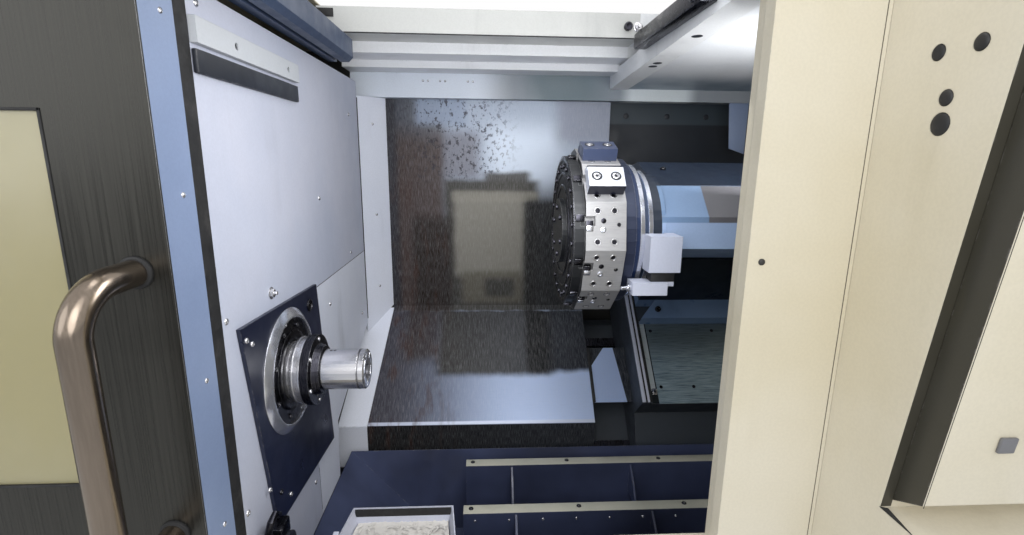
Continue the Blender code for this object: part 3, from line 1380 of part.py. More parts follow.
def make_turret_housing():
    foot = SLIDE_TOP_LIFT + GAP
    outline = [
        (HOUSING_FRONT_Y, HOUSING_FRONT_LOW), slope(HOUSING_TOE_S, foot), slope(HOUSING_HEEL_S, foot),
        (HOUSING_BACK_Y, HOUSING_BACK_Z), (HOUSING_CROWN_Y, HOUSING_CROWN_Z),
        (HOUSING_BROW_Y, HOUSING_BROW_Z), (HOUSING_FRONT_TOP_Y, HOUSING_FRONT_TOP),
    ]
    housing = prism("turret_housing", [outline], "X", HOUSING_LEFT_X, HOUSING_RIGHT_X)
    start = TURRET_HUB_X + GAP
    end = HOUSING_LEFT_X + OVERRUN
    profile = [
        (end, 0), (end, NECK_ROOT_RADIUS), (NECK_ROOT_X, NECK_ROOT_RADIUS),
        (NECK_ROOT_X, NECK_STEP_RADIUS), (NECK_STEP_X, NECK_STEP_RADIUS), (NECK_STEP_X, NECK_RADIUS),
        (start, NECK_RADIUS), (start, 0),
    ]
    add_part(fuse(housing, turned("turret_neck", profile, (TURRET_Y, TURRET_Z))), "blue_grey", "cross")


def make_coolant_block():
    left, right = COOLANT_LEFT_X, COOLANT_LEFT_X + COOLANT_WIDTH
    front, rear = COOLANT_FRONT_Y, COOLANT_FRONT_Y + COOLANT_DEPTH
    low, high = COOLANT_LOW, COOLANT_LOW + COOLANT_HEIGHT
    block = box("coolant_block", (left, front, low), (right, rear, high))
    foot = box("block_foot", (right - COOLANT_FOOT, rear - OVERRUN, COOLANT_FOOT_LOW),
               (right, HOUSING_FRONT_Y - GAP, high))
    step = COOLANT_NECK_INSET
    neck = box("block_neck", (left + step, front + step, low - COOLANT_NECK - OVERRUN),
               (right - step, rear - step, low + OVERRUN))
    nozzle_top = low - COOLANT_NECK
    nozzle = box(
        "block_nozzle", (COOLANT_NOZZLE_LEFT_X, front, nozzle_top - COOLANT_NOZZLE_HEIGHT),
        (COOLANT_NOZZLE_LEFT_X + COOLANT_NOZZLE_WIDTH, rear, nozzle_top),
    )
    add_part(fuse(block, foot, neck, nozzle), "pale", "cross")


def at_station(obj, tilt):
    """Turns an object drawn over the turret's axis so that its +Z points out at a tilt over -Y."""
    turn = Matrix.Rotation(math.pi / 2 - tilt, 4, "X")
    place = Matrix.Translation((0, TURRET_Y, TURRET_Z))
    obj.matrix_world = place @ turn @ obj.matrix_basis
    return obj


def make_turret_disc():
    """A twelve-sided disc with four tapped holes and a clamping slot on each face."""
    face = math.pi / STATIONS
    corner_turn = math.pi - FACET_TILT + face
    centre = (TURRET_Y, TURRET_Z)
    corners = ring_points(centre, TURRET_CORNER, STATIONS, corner_turn)
    disc = prism("turret_disc", [corners], "X", TURRET_LEFT_X, TURRET_RIGHT_X)
    middle = (TURRET_LEFT_X + TURRET_RIGHT_X) / 2
    profile = [
        (TURRET_HUB_X, 0), (TURRET_HUB_X, TURRET_HUB_RADIUS), (middle, TURRET_HUB_RADIUS),
        (middle, TURRET_RIM_RADIUS), (TURRET_RIM_X, TURRET_RIM_RADIUS), (TURRET_RIM_X, TURRET_CAP_RADIUS),
        (TURRET_CAP_X, TURRET_CAP_RADIUS), (TURRET_CAP_X, 0),
    ]
    fuse(disc, turned("turret_core", profile, centre))
    flat = TURRET_CORNER * math.cos(face)
    tools = []
    for i in range(STATIONS):
        tilt = FACET_TILT + 2 * face * i
        for x in (middle - STATION_HOLE_X, middle + STATION_HOLE_X):
            for t in (-STATION_HOLE_T, STATION_HOLE_T):
                hole = peg("station_hole", (x, t, flat), (0, 0, 1), STATION_HOLE, 2 * STATION_HOLE_DEPTH)
                tools.append(at_station(hole, tilt))
        slot = box(
            "station_slot",
            (TURRET_LEFT_X - OVERRUN, STATION_SLOT_T - STATION_SLOT_WIDTH / 2, flat - STATION_SLOT_DEPTH),
            (TURRET_LEFT_X + STATION_SLOT_LENGTH, STATION_SLOT_T + STATION_SLOT_WIDTH / 2, flat + OVERRUN),
        )
        tools.append(at_station(slot, tilt))
    add_part(cut(disc, joined("station_cutters", tools)), "steel", "turret")


def make_tool_holders():
    """Two clamped blocks on neighbouring turret faces, each with two socket screws."""
    flat = TURRET_CORNER * math.cos(math.pi / STATIONS) + GAP
    middle = (TURRET_LEFT_X + TURRET_RIGHT_X) / 2
    top = flat + HOLDER_RISE
    holders = (("tool_holder_a", HOLDER_A_TILT, "pale"), ("tool_holder_b", HOLDER_B_TILT, "dark"))
    for name, tilt, look in holders:
        block = box("holder_block", (middle - HOLDER_HALF_X, -HOLDER_HALF_T, flat),
                    (middle + HOLDER_HALF_X, HOLDER_HALF_T, top))
        notch = box(
            "holder_notch",
            (middle - HOLDER_HALF_X - OVERRUN, HOLDER_HALF_T - HOLDER_WEDGE, flat + HOLDER_WEDGE_DEPTH),
            (middle + HOLDER_HALF_X + OVERRUN, HOLDER_HALF_T + OVERRUN, top + OVERRUN),
        )
        sockets = [
            peg("holder_socket", (x, 0, top), (0, 0, 1), HOLDER_SCREW, 2 * HOLDER_SCREW_DEPTH)
            for x in (middle - HOLDER_SCREW_X, middle + HOLDER_SCREW_X)
        ]
        for tool in (notch, *sockets):
            at_station(tool, tilt)
        holder = at_station(block, tilt)
        holder.name = name
        add_part(cut(holder, notch, joined("holder_sockets", sockets)), look, "turret")


def make_console():
    """The operator's cabinet: a sheet box that is open to the inside, with plugs in its side."""
    top = HEIGHT - SHEET - GAP
    outer = [
        (CONSOLE_REAR_Y, top), (console_front(top), top), (CONSOLE_FRONT_Y, CONSOLE_SHELF_Z),
        (CONSOLE_TOE_Y, CONSOLE_SHELF_Z), (CONSOLE_TOE_Y, CONSOLE_TOE_LOW), (FRONT_Y, SILL_Z),
        (FRONT_Y, CONSOLE_LOW), (CONSOLE_REAR_Y, CONSOLE_LOW),
    ]
    inner = inset(outer, SHEET)
    inner[0] = (CONSOLE_REAR_Y + OVERRUN, inner[0][1])
    inner[-1] = (CONSOLE_REAR_Y + OVERRUN, inner[-1][1])
    shell = prism("console_housing", [outer], "X", CONSOLE_X, SIDE_IN)
    hollow = prism("console_hollow", [inner], "X", CONSOLE_X + SHEET, SIDE_IN - SHEET)
    plugs = [
        peg("plug", (CONSOLE_X, y, HEIGHT - drop), (1, 0, 0), CONSOLE_PLUG, 2 * CONSOLE_PLUG_DEPTH,
            SMALL_ROUND)
        for y, drop in zip(CONSOLE_PLUG_Y, CONSOLE_PLUG_DROPS)
    ]
    large = (CONSOLE_X, CONSOLE_BIG_PLUG_Y, HEIGHT - CONSOLE_BIG_PLUG_DROP)
    plugs.append(peg("plug", large, (1, 0, 0), CONSOLE_BIG_PLUG, 2 * CONSOLE_PLUG_DEPTH, SMALL_ROUND))
    add_part(cut(shell, hollow, joined("plug_cutters", plugs)), "cream")


def on_panel(obj, x, z):
    """Moves an object drawn about its +Z axis onto the panel's leaning face, pointing outwards."""
    turn = Matrix.Rotation(math.pi / 2 + math.atan(CONSOLE_LEAN), 4, "X")
    obj.matrix_world = Matrix.Translation((x, panel_front(z), z)) @ turn @ obj.matrix_basis
    return obj


def panel_patch(name, shares, low, high):
    """A block over a share of the panel's face, from low to high off the face."""
    left, right, bottom, top = shares
    width = PANEL_RIGHT_X - PANEL_LEFT_X
    height = (PANEL_TOP - PANEL_LOW) * math.hypot(1, CONSOLE_LEAN)
    x = PANEL_LEFT_X + width * (left + right) / 2
    z = PANEL_LOW + (PANEL_TOP - PANEL_LOW) * (bottom + top) / 2
    half = (width * (right - left) / 2, height * (top - bottom) / 2)
    block = box(name, (-half[0], -half[1], low), (half[0], half[1], high))
    return on_panel(block, x, z)


def make_panel():
    """The hinged operator panel with a screen recess, a key field, and bores for its controls."""
    rear = 2 * GAP
    outline = [
        (console_front(PANEL_TOP) - rear, PANEL_TOP), (panel_front(PANEL_TOP), PANEL_TOP),
        (panel_front(PANEL_LOW_FRONT), PANEL_LOW_FRONT), (console_front(PANEL_LOW) - rear, PANEL_LOW),
    ]
    panel = prism("operator_panel", [outline], "X", PANEL_LEFT_X, PANEL_RIGHT_X)
    inner = inset(outline, PANEL_WALL)
    inner[0] = (inner[0][0] + PANEL_DEPTH, inner[0][1])
    inner[-1] = (inner[-1][0] + PANEL_DEPTH, inner[-1][1])
    hollow = prism("panel_hollow", [inner], "X", PANEL_LEFT_X + PANEL_WALL, PANEL_RIGHT_X - PANEL_WALL)
    screen = panel_patch("screen", PANEL_SCREEN_SHARES, -PANEL_SCREEN_DEPTH, OVERRUN)
    left, right, bottom, top = PANEL_KEYS_SHARES
    wide, tall = (right - left) / KEY_COLUMNS, (top - bottom) / KEY_ROWS
    keys = []
    for row in range(KEY_ROWS):
        for column in range(KEY_COLUMNS):
            x, z = left + wide * column, bottom + tall * row
            shares = (x, x + wide * KEY_SHARE, z, z + tall * KEY_SHARE)
            keys.append(panel_patch("key", shares, -KEY_RISE, KEY_RISE))
    bores = [
        on_panel(peg("control_bore", (0, 0, 0), (0, 0, 1), radius + GAP, 2 * BUTTON_BORE, SMALL_ROUND), x, z)
        for x, z, radius in (
            (ESTOP_X, ESTOP_Z, ESTOP_STEM_RADIUS), (DIAL_X, DIAL_Z, DIAL_STEM_RADIUS)
        )
    ]
    fuse(panel, joined("keys", keys))
    add_part(cut(panel, hollow, screen, joined("control_bores", bores)), "cream", "panel")


def make_controls():
    """The emergency stop and the override dial."""
    stand = ESTOP_STAND
    profile = [
        (stand, 0), (stand, ESTOP_RADIUS - ESTOP_DOME), (stand - ESTOP_DOME, ESTOP_RADIUS),
        (stand - ESTOP_HEAD, ESTOP_RADIUS), (stand - ESTOP_HEAD, ESTOP_STEM_RADIUS),
        (-BUTTON_STEM, ESTOP_STEM_RADIUS), (-BUTTON_STEM, 0),
    ]
    button = turned("emergency_stop", profile, (0, 0), SMALL_ROUND)
    button.matrix_world = Matrix.Identity(4)
    add_part(on_panel(button, ESTOP_X, ESTOP_Z), "red", "estop")
    steps = 2 * DIAL_RIBS
    outline = []
    for i, (x, y) in enumerate(ring_points((0, 0), 1, steps)):
        radius = DIAL_RADIUS - DIAL_RIB_DEPTH * (i % 2)
        outline.append((x * radius, y * radius))
    knob = prism("override_dial", [outline], "Z", DIAL_LIFT, DIAL_DEPTH)
    pointer = box("pointer", (-DIAL_RIB_DEPTH, 0, DIAL_DEPTH - DIAL_RIB_DEPTH),
                  (DIAL_RIB_DEPTH, DIAL_RADIUS + OVERRUN, DIAL_DEPTH + OVERRUN))
    stem = peg("dial_stem", (0, 0, 0), (0, 0, 1), DIAL_STEM_RADIUS, 2 * BUTTON_STEM, SMALL_ROUND)
    stem.location.z = DIAL_DEPTH / 2 - BUTTON_STEM
    for piece in (knob, pointer, stem):
        on_panel(piece, DIAL_X, DIAL_Z)
    add_part(cut(fuse(knob, stem), pointer), "grey_plastic", "dial")


make_base()
make_slant_bed()
make_z_rails()
make_headstock()
make_bearings()
make_spindle()
make_mandrel_flange()
make_mandrel()
make_drive()
make_spindle_guard()
make_left_wall()
make_filler()
make_door()
make_door_seal()
make_front()
make_shells()
make_roof()
make_lamp_bracket()
make_recess_panel()
make_pan()
make_troughs()
make_tray()
make_cover()
make_saddle()
make_screws()
make_cross_slide()
make_turret_housing()
make_coolant_block()
make_turret_disc()
make_tool_holders()
make_console()
make_panel()
make_controls()
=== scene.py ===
"""The dressed CNC turning lathe: camera, light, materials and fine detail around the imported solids."""

import random
from functools import partialmethod
from itertools import product
from math import atan, cos, pi, radians, sin, sqrt

import bmesh
import bpy
from mathutils import Matrix, Vector


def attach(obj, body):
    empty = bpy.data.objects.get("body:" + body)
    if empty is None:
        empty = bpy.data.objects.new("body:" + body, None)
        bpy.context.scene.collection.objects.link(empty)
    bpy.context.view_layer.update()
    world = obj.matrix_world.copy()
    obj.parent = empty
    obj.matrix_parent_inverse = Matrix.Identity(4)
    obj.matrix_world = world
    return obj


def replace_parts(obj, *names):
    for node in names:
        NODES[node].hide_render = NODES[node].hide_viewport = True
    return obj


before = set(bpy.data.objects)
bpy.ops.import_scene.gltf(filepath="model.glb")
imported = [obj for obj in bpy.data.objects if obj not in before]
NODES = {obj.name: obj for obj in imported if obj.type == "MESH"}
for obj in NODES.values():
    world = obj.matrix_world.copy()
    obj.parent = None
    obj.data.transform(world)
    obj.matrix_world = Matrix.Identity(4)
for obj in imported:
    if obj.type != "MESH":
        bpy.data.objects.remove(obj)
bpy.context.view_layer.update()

# Camera
CAMERA_PLACE = (0.05, -1.37, 1.51)
CAMERA_PITCH = radians(12.24)
CAMERA_YAW = radians(3.1)
CAMERA_ROLL = 0.010245
CAMERA_LENS = 17.863

# Directions
EAST, WEST, FRONT, BACK, UP = (1, 0, 0), (-1, 0, 0), (0, -1, 0), (0, 1, 0), (0, 0, 1)

# Planes and axes of the machine that the details sit on
LIP_Y, LIP_Z = 0.233, 0.609
WALL_X = -0.39
GUARD_X = -0.3821
RING_X = -0.3817
NOSE_X = -0.3758
SPINDLE = (-0.292, 1.045)
TURRET = (-0.018, 1.319)
FRONT_Y, BACK_Y = -0.65, 0.905
SIDE_X, ROOF_Z = 1.3, 1.93
RAIL_TOP = 0.57

# A seam is a strip that stands this far off its sheet
SEAM = 0.0004
# The foot of a screw or plug is sunk by this much
SUNK = -0.0005
# Beyond every part of the machine, for a zone that is open on one side
FAR = 9.0

# Name, place, target, size, power, colour
LAMPS = (
    ("key", (0.9, -2.9, 3.2), (0.0, 0.1, 1.1), 2.4, 19, (1, 1, 1)),
    ("left_fill", (-2.6, -2.8, 2.4), (0.1, 0.0, 1.1), 2.4, 24, (0.93, 0.96, 1)),
    ("top", (0.15, -0.35, 3.4), (0.0, 0.1, 1.0), 1.2, 12, (1, 1, 1)),
    ("front_fill", (0.0, -1.75, 1.75), (0.0, 0.3, 1.25), 1.0, 8, (1, 1, 1)),
    ("inner_glow", (0.16, -0.52, 1.6), (-0.39, -0.05, 1.22), 0.4, 2.9, (1, 1, 1)),
    ("roof_glow", (0.72, -0.25, 1.56), (0.74, 0.0, 1.8), 0.35, 1.6, (1, 1, 1)),
    ("work_light", (0.395, -0.5, 1.735), (-0.05, 0.2, 1.15), 0.3, 1.2, (0.96, 0.98, 1)),
)


def placed(name, data):
    made = bpy.data.objects.new(name, data)
    bpy.context.scene.collection.objects.link(made)
    return made


def make_camera():
    yaw, pitch, roll = CAMERA_YAW, CAMERA_PITCH, CAMERA_ROLL
    ahead = Vector((sin(yaw) * cos(pitch), cos(yaw) * cos(pitch), -sin(pitch)))
    level = Vector((cos(yaw), -sin(yaw), 0))
    above = level.cross(ahead)
    right = level * cos(roll) + above * sin(roll)
    up = above * cos(roll) - level * sin(roll)
    data = bpy.data.cameras.new("camera")
    data.lens = CAMERA_LENS
    data.clip_start = 0.02
    camera = placed("camera", data)
    turn = Matrix((right, up, -ahead)).transposed().to_4x4()
    camera.matrix_world = Matrix.Translation(CAMERA_PLACE) @ turn
    bpy.context.scene.camera = camera


def make_lamp(name, place, target, size, power, color):
    data = bpy.data.lights.new(name, "AREA")
    data.shape = "DISK"
    data.size = size
    data.energy = power
    data.color = color
    lamp = placed(name, data)
    lamp.location = place
    lamp.rotation_mode = "QUATERNION"
    lamp.rotation_quaternion = (Vector(target) - Vector(place)).to_track_quat("-Z", "Y")


def make_world():
    """A plain grey sky for the light, and white where it is seen directly, mirrored or through glass."""
    world = bpy.data.worlds.new("studio")
    bpy.context.scene.world = world
    world.use_nodes = True
    nodes, links = world.node_tree.nodes, world.node_tree.links
    nodes.clear()
    out = nodes.new("ShaderNodeOutputWorld")
    sky = nodes.new("ShaderNodeBackground")
    sky.inputs["Color"].default_value = (0.94, 0.965, 1, 1)
    sky.inputs["Strength"].default_value = 0.62
    plain = nodes.new("ShaderNodeBackground")
    plain.inputs["Color"].default_value = (1, 1, 1, 1)
    path = nodes.new("ShaderNodeLightPath")
    seen = path.outputs["Is Camera Ray"]
    for name in ("Is Glossy Ray", "Is Transmission Ray"):
        both = nodes.new("ShaderNodeMath")
        both.operation = "MAXIMUM"
        links.new(seen, both.inputs[0])
        links.new(path.outputs[name], both.inputs[1])
        seen = both.outputs[0]
    blend = nodes.new("ShaderNodeMixShader")
    links.new(seen, blend.inputs[0])
    links.new(sky.outputs[0], blend.inputs[1])
    links.new(plain.outputs[0], blend.inputs[2])
    links.new(blend.outputs[0], out.inputs["Surface"])


def make_floor():
    mesh = bpy.data.meshes.new("studio_floor")
    half = 30.0
    corners = [(-half, -half, 0), (half, -half, 0), (half, half, 0), (-half, half, 0)]
    mesh.from_pydata(corners, [], [(0, 1, 2, 3)])
    floor = placed("studio_floor", mesh)
    made = bpy.data.materials.new("studio_floor")
    made.use_nodes = True
    shader = made.node_tree.nodes["Principled BSDF"]
    shader.inputs["Base Color"].default_value = (0.93, 0.93, 0.93, 1)
    shader.inputs["Roughness"].default_value = 0.8
    mesh.materials.append(made)


def linear(color):
    """Linear colour: screen values from 0 to 255 are converted, and a colour up to 1 stays as it is."""
    if max(color) <= 1:
        return color
    return tuple(((c / 255 + 0.055) / 1.055) ** 2.4 for c in color)


class Look:
    """One material and short calls that add nodes to it."""

    def __init__(self, name):
        self.material = bpy.data.materials.new(name + "_look")
        self.material.use_nodes = True
        self.nodes = self.material.node_tree.nodes
        self.links = self.material.node_tree.links
        self.shader = self.nodes["Principled BSDF"]
        self.place = self.nodes.new("ShaderNodeTexCoord").outputs["Object"]

    def put(self, target, value):
        if isinstance(value, bpy.types.NodeSocket):
            self.links.new(value, target)
        elif isinstance(value, tuple) and len(value) == 3 and len(target.default_value) == 4:
            target.default_value = (*linear(value), 1)
        else:
            target.default_value = value

    def set(self, **values):
        for name, value in values.items():
            self.put(self.shader.inputs[name.replace("_", " ")], value)

    def node(self, kind, **inputs):
        made = self.nodes.new(kind)
        for name, value in inputs.items():
            self.put(made.inputs[name], value)
        return made

    def noise(self, scale, detail=3.0, roughness=0.55, stretch=None, shift=(0, 0, 0)):
        place = self.node("ShaderNodeMapping", Vector=self.place, Scale=stretch or (1, 1, 1), Location=shift)
        made = self.node("ShaderNodeTexNoise", Vector=place.outputs[0], Scale=scale, Detail=detail,
                         Roughness=roughness)
        return made.outputs["Fac"]

    def span(self, value, low, high, to_low=0.0, to_high=1.0, smooth=True):
        made = self.nodes.new("ShaderNodeMapRange")
        made.interpolation_type = "SMOOTHSTEP" if smooth else "LINEAR"
        self.put(made.inputs["Value"], value)
        for name, number in (("From Min", low), ("From Max", high), ("To Min", to_low), ("To Max", to_high)):
            made.inputs[name].default_value = number
        return made.outputs["Result"]

    def pair(self, kind, operation, a, b, output=0):
        made = self.nodes.new(kind)
        made.operation = operation
        self.put(made.inputs[0], a)
        self.put(made.inputs[1], b)
        return made.outputs[output]

    def plus(self, a, b):
        return self.pair("ShaderNodeMath", "ADD", a, b)

    def times(self, first, *others):
        for other in others:
            first = self.pair("ShaderNodeMath", "MULTIPLY", first, other)
        return first

    def dot(self, a, b):
        return self.pair("ShaderNodeVectorMath", "DOT_PRODUCT", a, b, "Value")

    def mix(self, share, a, b, kind="MIX"):
        made = self.nodes.new("ShaderNodeMix")
        made.data_type = "RGBA"
        made.blend_type = kind
        for socket, value in ((0, share), (6, a), (7, b)):
            self.put(made.inputs[socket], value)
        return made.outputs[2]

    def along(self, name):
        """A coordinate in metres: X, Y or Z of the machine, or the height along a (direction, start) pair."""
        if isinstance(name, str):
            return self.node("ShaderNodeSeparateXYZ", Vector=self.place).outputs[name]
        return self.plus(self.dot(self.place, name[0]), -name[1])

    def zone(self, limits, wobble=0.0):
        """One inside a list of (axis, low, high, softness) limits, with an edge that may wander."""
        inside = 1.0
        for name, low, high, soft in limits:
            value = self.along(name)
            if wobble:
                stray = self.plus(self.noise(13, 4, 0.6, None, (low, high, soft)), -0.5)
                value = self.plus(value, self.times(stray, wobble))
            if low > -FAR:
                inside = self.times(inside, self.span(value, low - soft, low + soft))
            if high < FAR:
                inside = self.times(inside, self.span(value, high + soft, high - soft))
        return inside

    def zoned(self, tone, zones, wobble=0.0):
        for color, share, limits in zones:
            tone = self.mix(self.times(self.zone(limits, wobble), share), tone, color)
        return tone

    def rounded(self, radius):
        """Surface direction with the sharp edges rounded off."""
        made = self.nodes.new("ShaderNodeBevel")
        made.samples = 3
        made.inputs["Radius"].default_value = radius
        return made.outputs[0]

    def edges(self, width, reach=0.25):
        """One at sharp edges and zero on flat faces."""
        true = self.nodes.new("ShaderNodeNewGeometry").outputs["Normal"]
        return self.span(self.dot(self.rounded(width), true), 1.0, 1.0 - reach, smooth=False)

    def relief(self, height, strength, distance, rounding=0.0):
        bump = self.node("ShaderNodeBump", Strength=strength, Distance=distance, Height=height)
        if rounding:
            self.put(bump.inputs["Normal"], self.rounded(rounding))
        self.put(self.shader.inputs["Normal"], bump.outputs[0])


def painted(name, color, second, roughness, grime, dirt=(0.16, 0.13, 0.09), wear=0.5, zones=()):
    """Satin paint on sheet metal: drifting tone, streaks of grime, an orange-peel skin and worn edges."""
    look = Look(name)
    drift = look.span(look.noise(1.7, 4), 0.35, 0.68)
    tone = look.zoned(look.mix(drift, color, second), zones)
    streak = look.span(look.noise(9, 5, 0.62, (1, 1, 0.16), (3, 1, 2)), 0.52, 0.8)
    cloud = look.span(look.noise(2.4, 3, 0.6, None, (7, 2, 5)), 0.42, 0.72)
    tone = look.mix(look.times(streak, cloud, grime), tone, dirt)
    fine = look.span(look.noise(240, 2, 0.5), 0.35, 0.65, 0.965, 1.0)
    tone = look.mix(1.0, tone, fine, "MULTIPLY")
    chip = look.times(look.edges(0.0035), look.span(look.noise(60, 4, 0.7), 0.5, 0.62))
    tone = look.mix(look.times(chip, wear), tone, (0.3, 0.29, 0.28))
    rough = look.span(look.noise(14, 4), 0.3, 0.7, roughness - 0.07, roughness + 0.12)
    look.set(Base_Color=tone, Roughness=rough)
    look.relief(look.noise(420, 2), 0.1, 0.0006, 0.0015)
    return look.material


def machined(name, color, roughness, grain, second, grime, scale, metal, depth, zones=()):
    """Bright metal with a fine directional grain, oil marks and softened edges."""
    look = Look(name)
    color = linear(color)
    fine = look.noise(scale, 6, 0.65, grain)
    tone = look.zoned(look.mix(look.span(fine, 0.32, 0.7), second, color), zones)
    blot = look.span(look.noise(7, 5, 0.6, None, (4, 6, 1)), 0.52, 0.72)
    tone = look.mix(look.times(blot, grime), tone, tuple(c * 0.35 for c in color))
    tone = look.mix(look.times(look.edges(0.0015), 0.35), tone, (0.85, 0.86, 0.88))
    rough = look.span(fine, 0.3, 0.7, roughness * 0.75, roughness * 1.35)
    look.set(Base_Color=tone, Metallic=metal, Roughness=rough)
    look.relief(fine, depth, 0.0004, 0.0008)
    return look.material


def rubbery(name, color, roughness):
    look = Look(name)
    dust = look.span(look.noise(18, 5, 0.7), 0.5, 0.75)
    tone = look.mix(look.times(dust, 0.35), color, (0.09, 0.085, 0.08))
    rough = look.span(look.noise(30, 3), 0.3, 0.7, roughness - 0.12, roughness + 0.12)
    look.set(Base_Color=tone, Roughness=rough)
    look.relief(look.noise(160, 3), 0.25, 0.0008, 0.002)
    return look.material


HOLDER_TILT = radians(40.5)
OFF_BED = ((0, -sqrt(0.5), sqrt(0.5)), (LIP_Z - LIP_Y) * sqrt(0.5))
EAST_EDGE = ((1, 0.1723, 0), 0.5344 + 0.1723 * 0.4266)
CORNER_EDGE = ((-0.96, 1, 0), 0.3764 - 0.96 * 0.4382)
HOLDER_SIDE = ((0, sin(HOLDER_TILT), cos(HOLDER_TILT)),
               TURRET[0] * sin(HOLDER_TILT) + TURRET[1] * cos(HOLDER_TILT))

# The cover's upright back and its slope, and the wing at the slope's right end
COVER_FOLD = 0.545
ON_BACK = ("Y", COVER_FOLD, FAR, 0.004)
ON_SLOPE = ("Y", -FAR, COVER_FOLD, 0.004)
WING = (ON_SLOPE, ("X", 0.442, FAR, 0.0006), (EAST_EDGE, -FAR, 0, 0.0006), (CORNER_EDGE, -FAR, 0, 0.0006))

# Soft marks on the cover, rows of colour, share, limits in X, limits in Z; on the back, real staining with
# the turret's painted shadow and a painted highlight
BACK_STAINS_SHADOW_AND_HIGHLIGHT = (
    # A painted highlight across the top, with grey and blue-grey dirt in it
    ((158, 168, 184), 0.95, (-0.1, FAR, 0.05), (1.42, FAR, 0.05)),
    ((200, 210, 224), 0.8, (0.06, 0.34, 0.06), (1.4, 1.62, 0.06)),
    ((128, 132, 146), 0.8, (0.315, FAR, 0.04), (1.56, FAR, 0.04)),
    ((104, 102, 110), 0.75, (-0.13, 0.03, 0.035), (1.43, 1.6, 0.03)),
    ((140, 152, 172), 0.9, (-0.2, -0.02, 0.02), (1.62, FAR, 0.016)),
    # The turret's painted shadow, dark at its edge and olive inside
    ((58, 56, 51), 0.96, (-0.105, 0.25, 0.022), (-FAR, 1.425, 0.014)),
    ((66, 64, 60), 0.95, (0.05, 0.22, 0.022), (1.38, 1.455, 0.012)),
    ((128, 125, 115), 0.85, (-0.072, 0.25, 0.014), (1.345, 1.384, 0.01)),
    ((136, 133, 124), 0.85, (-0.066, 0.195, 0.018), (1.06, 1.375, 0.026)),
    ((98, 94, 83), 0.85, (-0.04, 0.195, 0.024), (0.95, 1.075, 0.018)),
    ((48, 48, 47), 0.8, (0.05, 0.165, 0.018), (0.972, 1.045, 0.016)),
    ((28, 28, 27), 0.95, (0.208, FAR, 0.014), (-FAR, 1.352, 0.02)),
    # Brown staining and rust at the left, darker lower down, and a darker strip at the far left
    ((62, 47, 40), 0.85, (-0.29, -0.105, 0.02), (-FAR, 1.6, 0.06)),
    ((34, 26, 21), 0.92, (-0.225, -0.08, 0.02), (-FAR, 1.285, 0.026)),
    ((34, 34, 40), 0.8, (-0.6, -0.272, 0.012), (-FAR, FAR, 0.01)),
)
# The turret's painted shadow on the upper slope, browner at the left and darkest at the right
SLOPE_SHADOW_AND_STAINS = (
    ((40, 37, 30), 0.95, (-0.13, 0.3, 0.03), (0.735, FAR, 0.012)),
    ((40, 29, 24), 0.85, (-0.255, -0.12, 0.035), (0.775, FAR, 0.026)),
    ((3, 3, 4), 0.97, (0.205, 0.45, 0.014), (0.742, FAR, 0.01)),
)
# A painted highlight on the lip, painted shade under it, and the wing with the painted shadow beside it
COVER_EDGES = (
    ((206, 213, 232), 0.85, (ON_SLOPE, ("Z", 0.6, 0.6165, 0.0015), (OFF_BED, -0.001, FAR, 0.0004))),
    ((22, 22, 22), 0.97, ((OFF_BED, -FAR, -0.0018, 0.0005), ("X", -FAR, 0.4338, 0.0006))),
    ((14, 16, 18), 0.97, (ON_SLOPE, ("X", 0.4338, FAR, 0.0006))),
    ((178, 198, 236), 1.0, WING),
)


# Rows of the cover's staining, painted shadow and painted highlight, made into zones on one face
def cover_zones(where, rows):
    return [(color, share, (where, ("X", *across), ("Z", *height))) for color, share, across, height in rows]


def stained_shaded_cover():
    """Stainless sheet with dried coolant and rust, brown at left; the turret's shadow is painted on it, dark
    with olive inside, and a highlight is painted bright at the upper right.
    """
    look = Look("stainless")
    across = look.along("X")
    base = look.mix(look.span(across, -0.3, 0.38), (58, 57, 66), (188, 206, 240))
    low = look.mix(look.span(across, -0.34, 0.0), (58, 60, 68), (120, 126, 136))
    base = look.mix(look.zone((ON_BACK,)), base, low)
    # Staining and rust, with the turret's painted shadow and a painted highlight
    base = look.zoned(base, cover_zones(ON_BACK, BACK_STAINS_SHADOW_AND_HIGHLIGHT) + cover_zones(ON_SLOPE, SLOPE_SHADOW_AND_STAINS), 0.016)
    # A painted highlight on the lip, painted shade under it and the painted shadow beside the wing
    base = look.zoned(base, COVER_EDGES)
    speck = look.span(look.noise(62, 5, 0.72, (1, 1, 0.8)), 0.53, 0.6)
    patch = look.zone((ON_BACK, ("X", -0.24, 0.12, 0.09), ("Z", 1.43, FAR, 0.04)), 0.1)
    base = look.mix(look.times(speck, patch, 0.85), base, (40, 38, 46))
    rust = look.times(look.span(look.noise(9, 5, 0.66, (3, 1, 0.6), (2, 8, 1)), 0.5, 0.66),
                      look.span(across, 0.02, -0.22), look.span(look.along("Z"), 1.75, 1.1))
    base = look.mix(look.times(rust, 0.55), base, (66, 40, 28))
    grain = look.noise(30, 5, 0.65, (30, 1, 1.2))
    base = look.mix(look.span(grain, 0.42, 0.74, 0.0, 0.16), base, (0.75, 0.76, 0.8))
    drag = look.noise(26, 5, 0.6, (1, 26, 26), (5, 5, 5))
    base = look.mix(look.span(drag, 0.5, 0.8, 0.0, 0.1), base, (0.02, 0.02, 0.02))
    rough = look.plus(look.span(grain, 0.3, 0.7, 0.36, 0.5), look.times(rust, 0.15))
    look.set(Base_Color=base, Metallic=0.25, Roughness=rough, Specular_IOR_Level=0.15)
    look.relief(look.plus(grain, rust), 0.06, 0.0005, 0.0012)
    return look.material


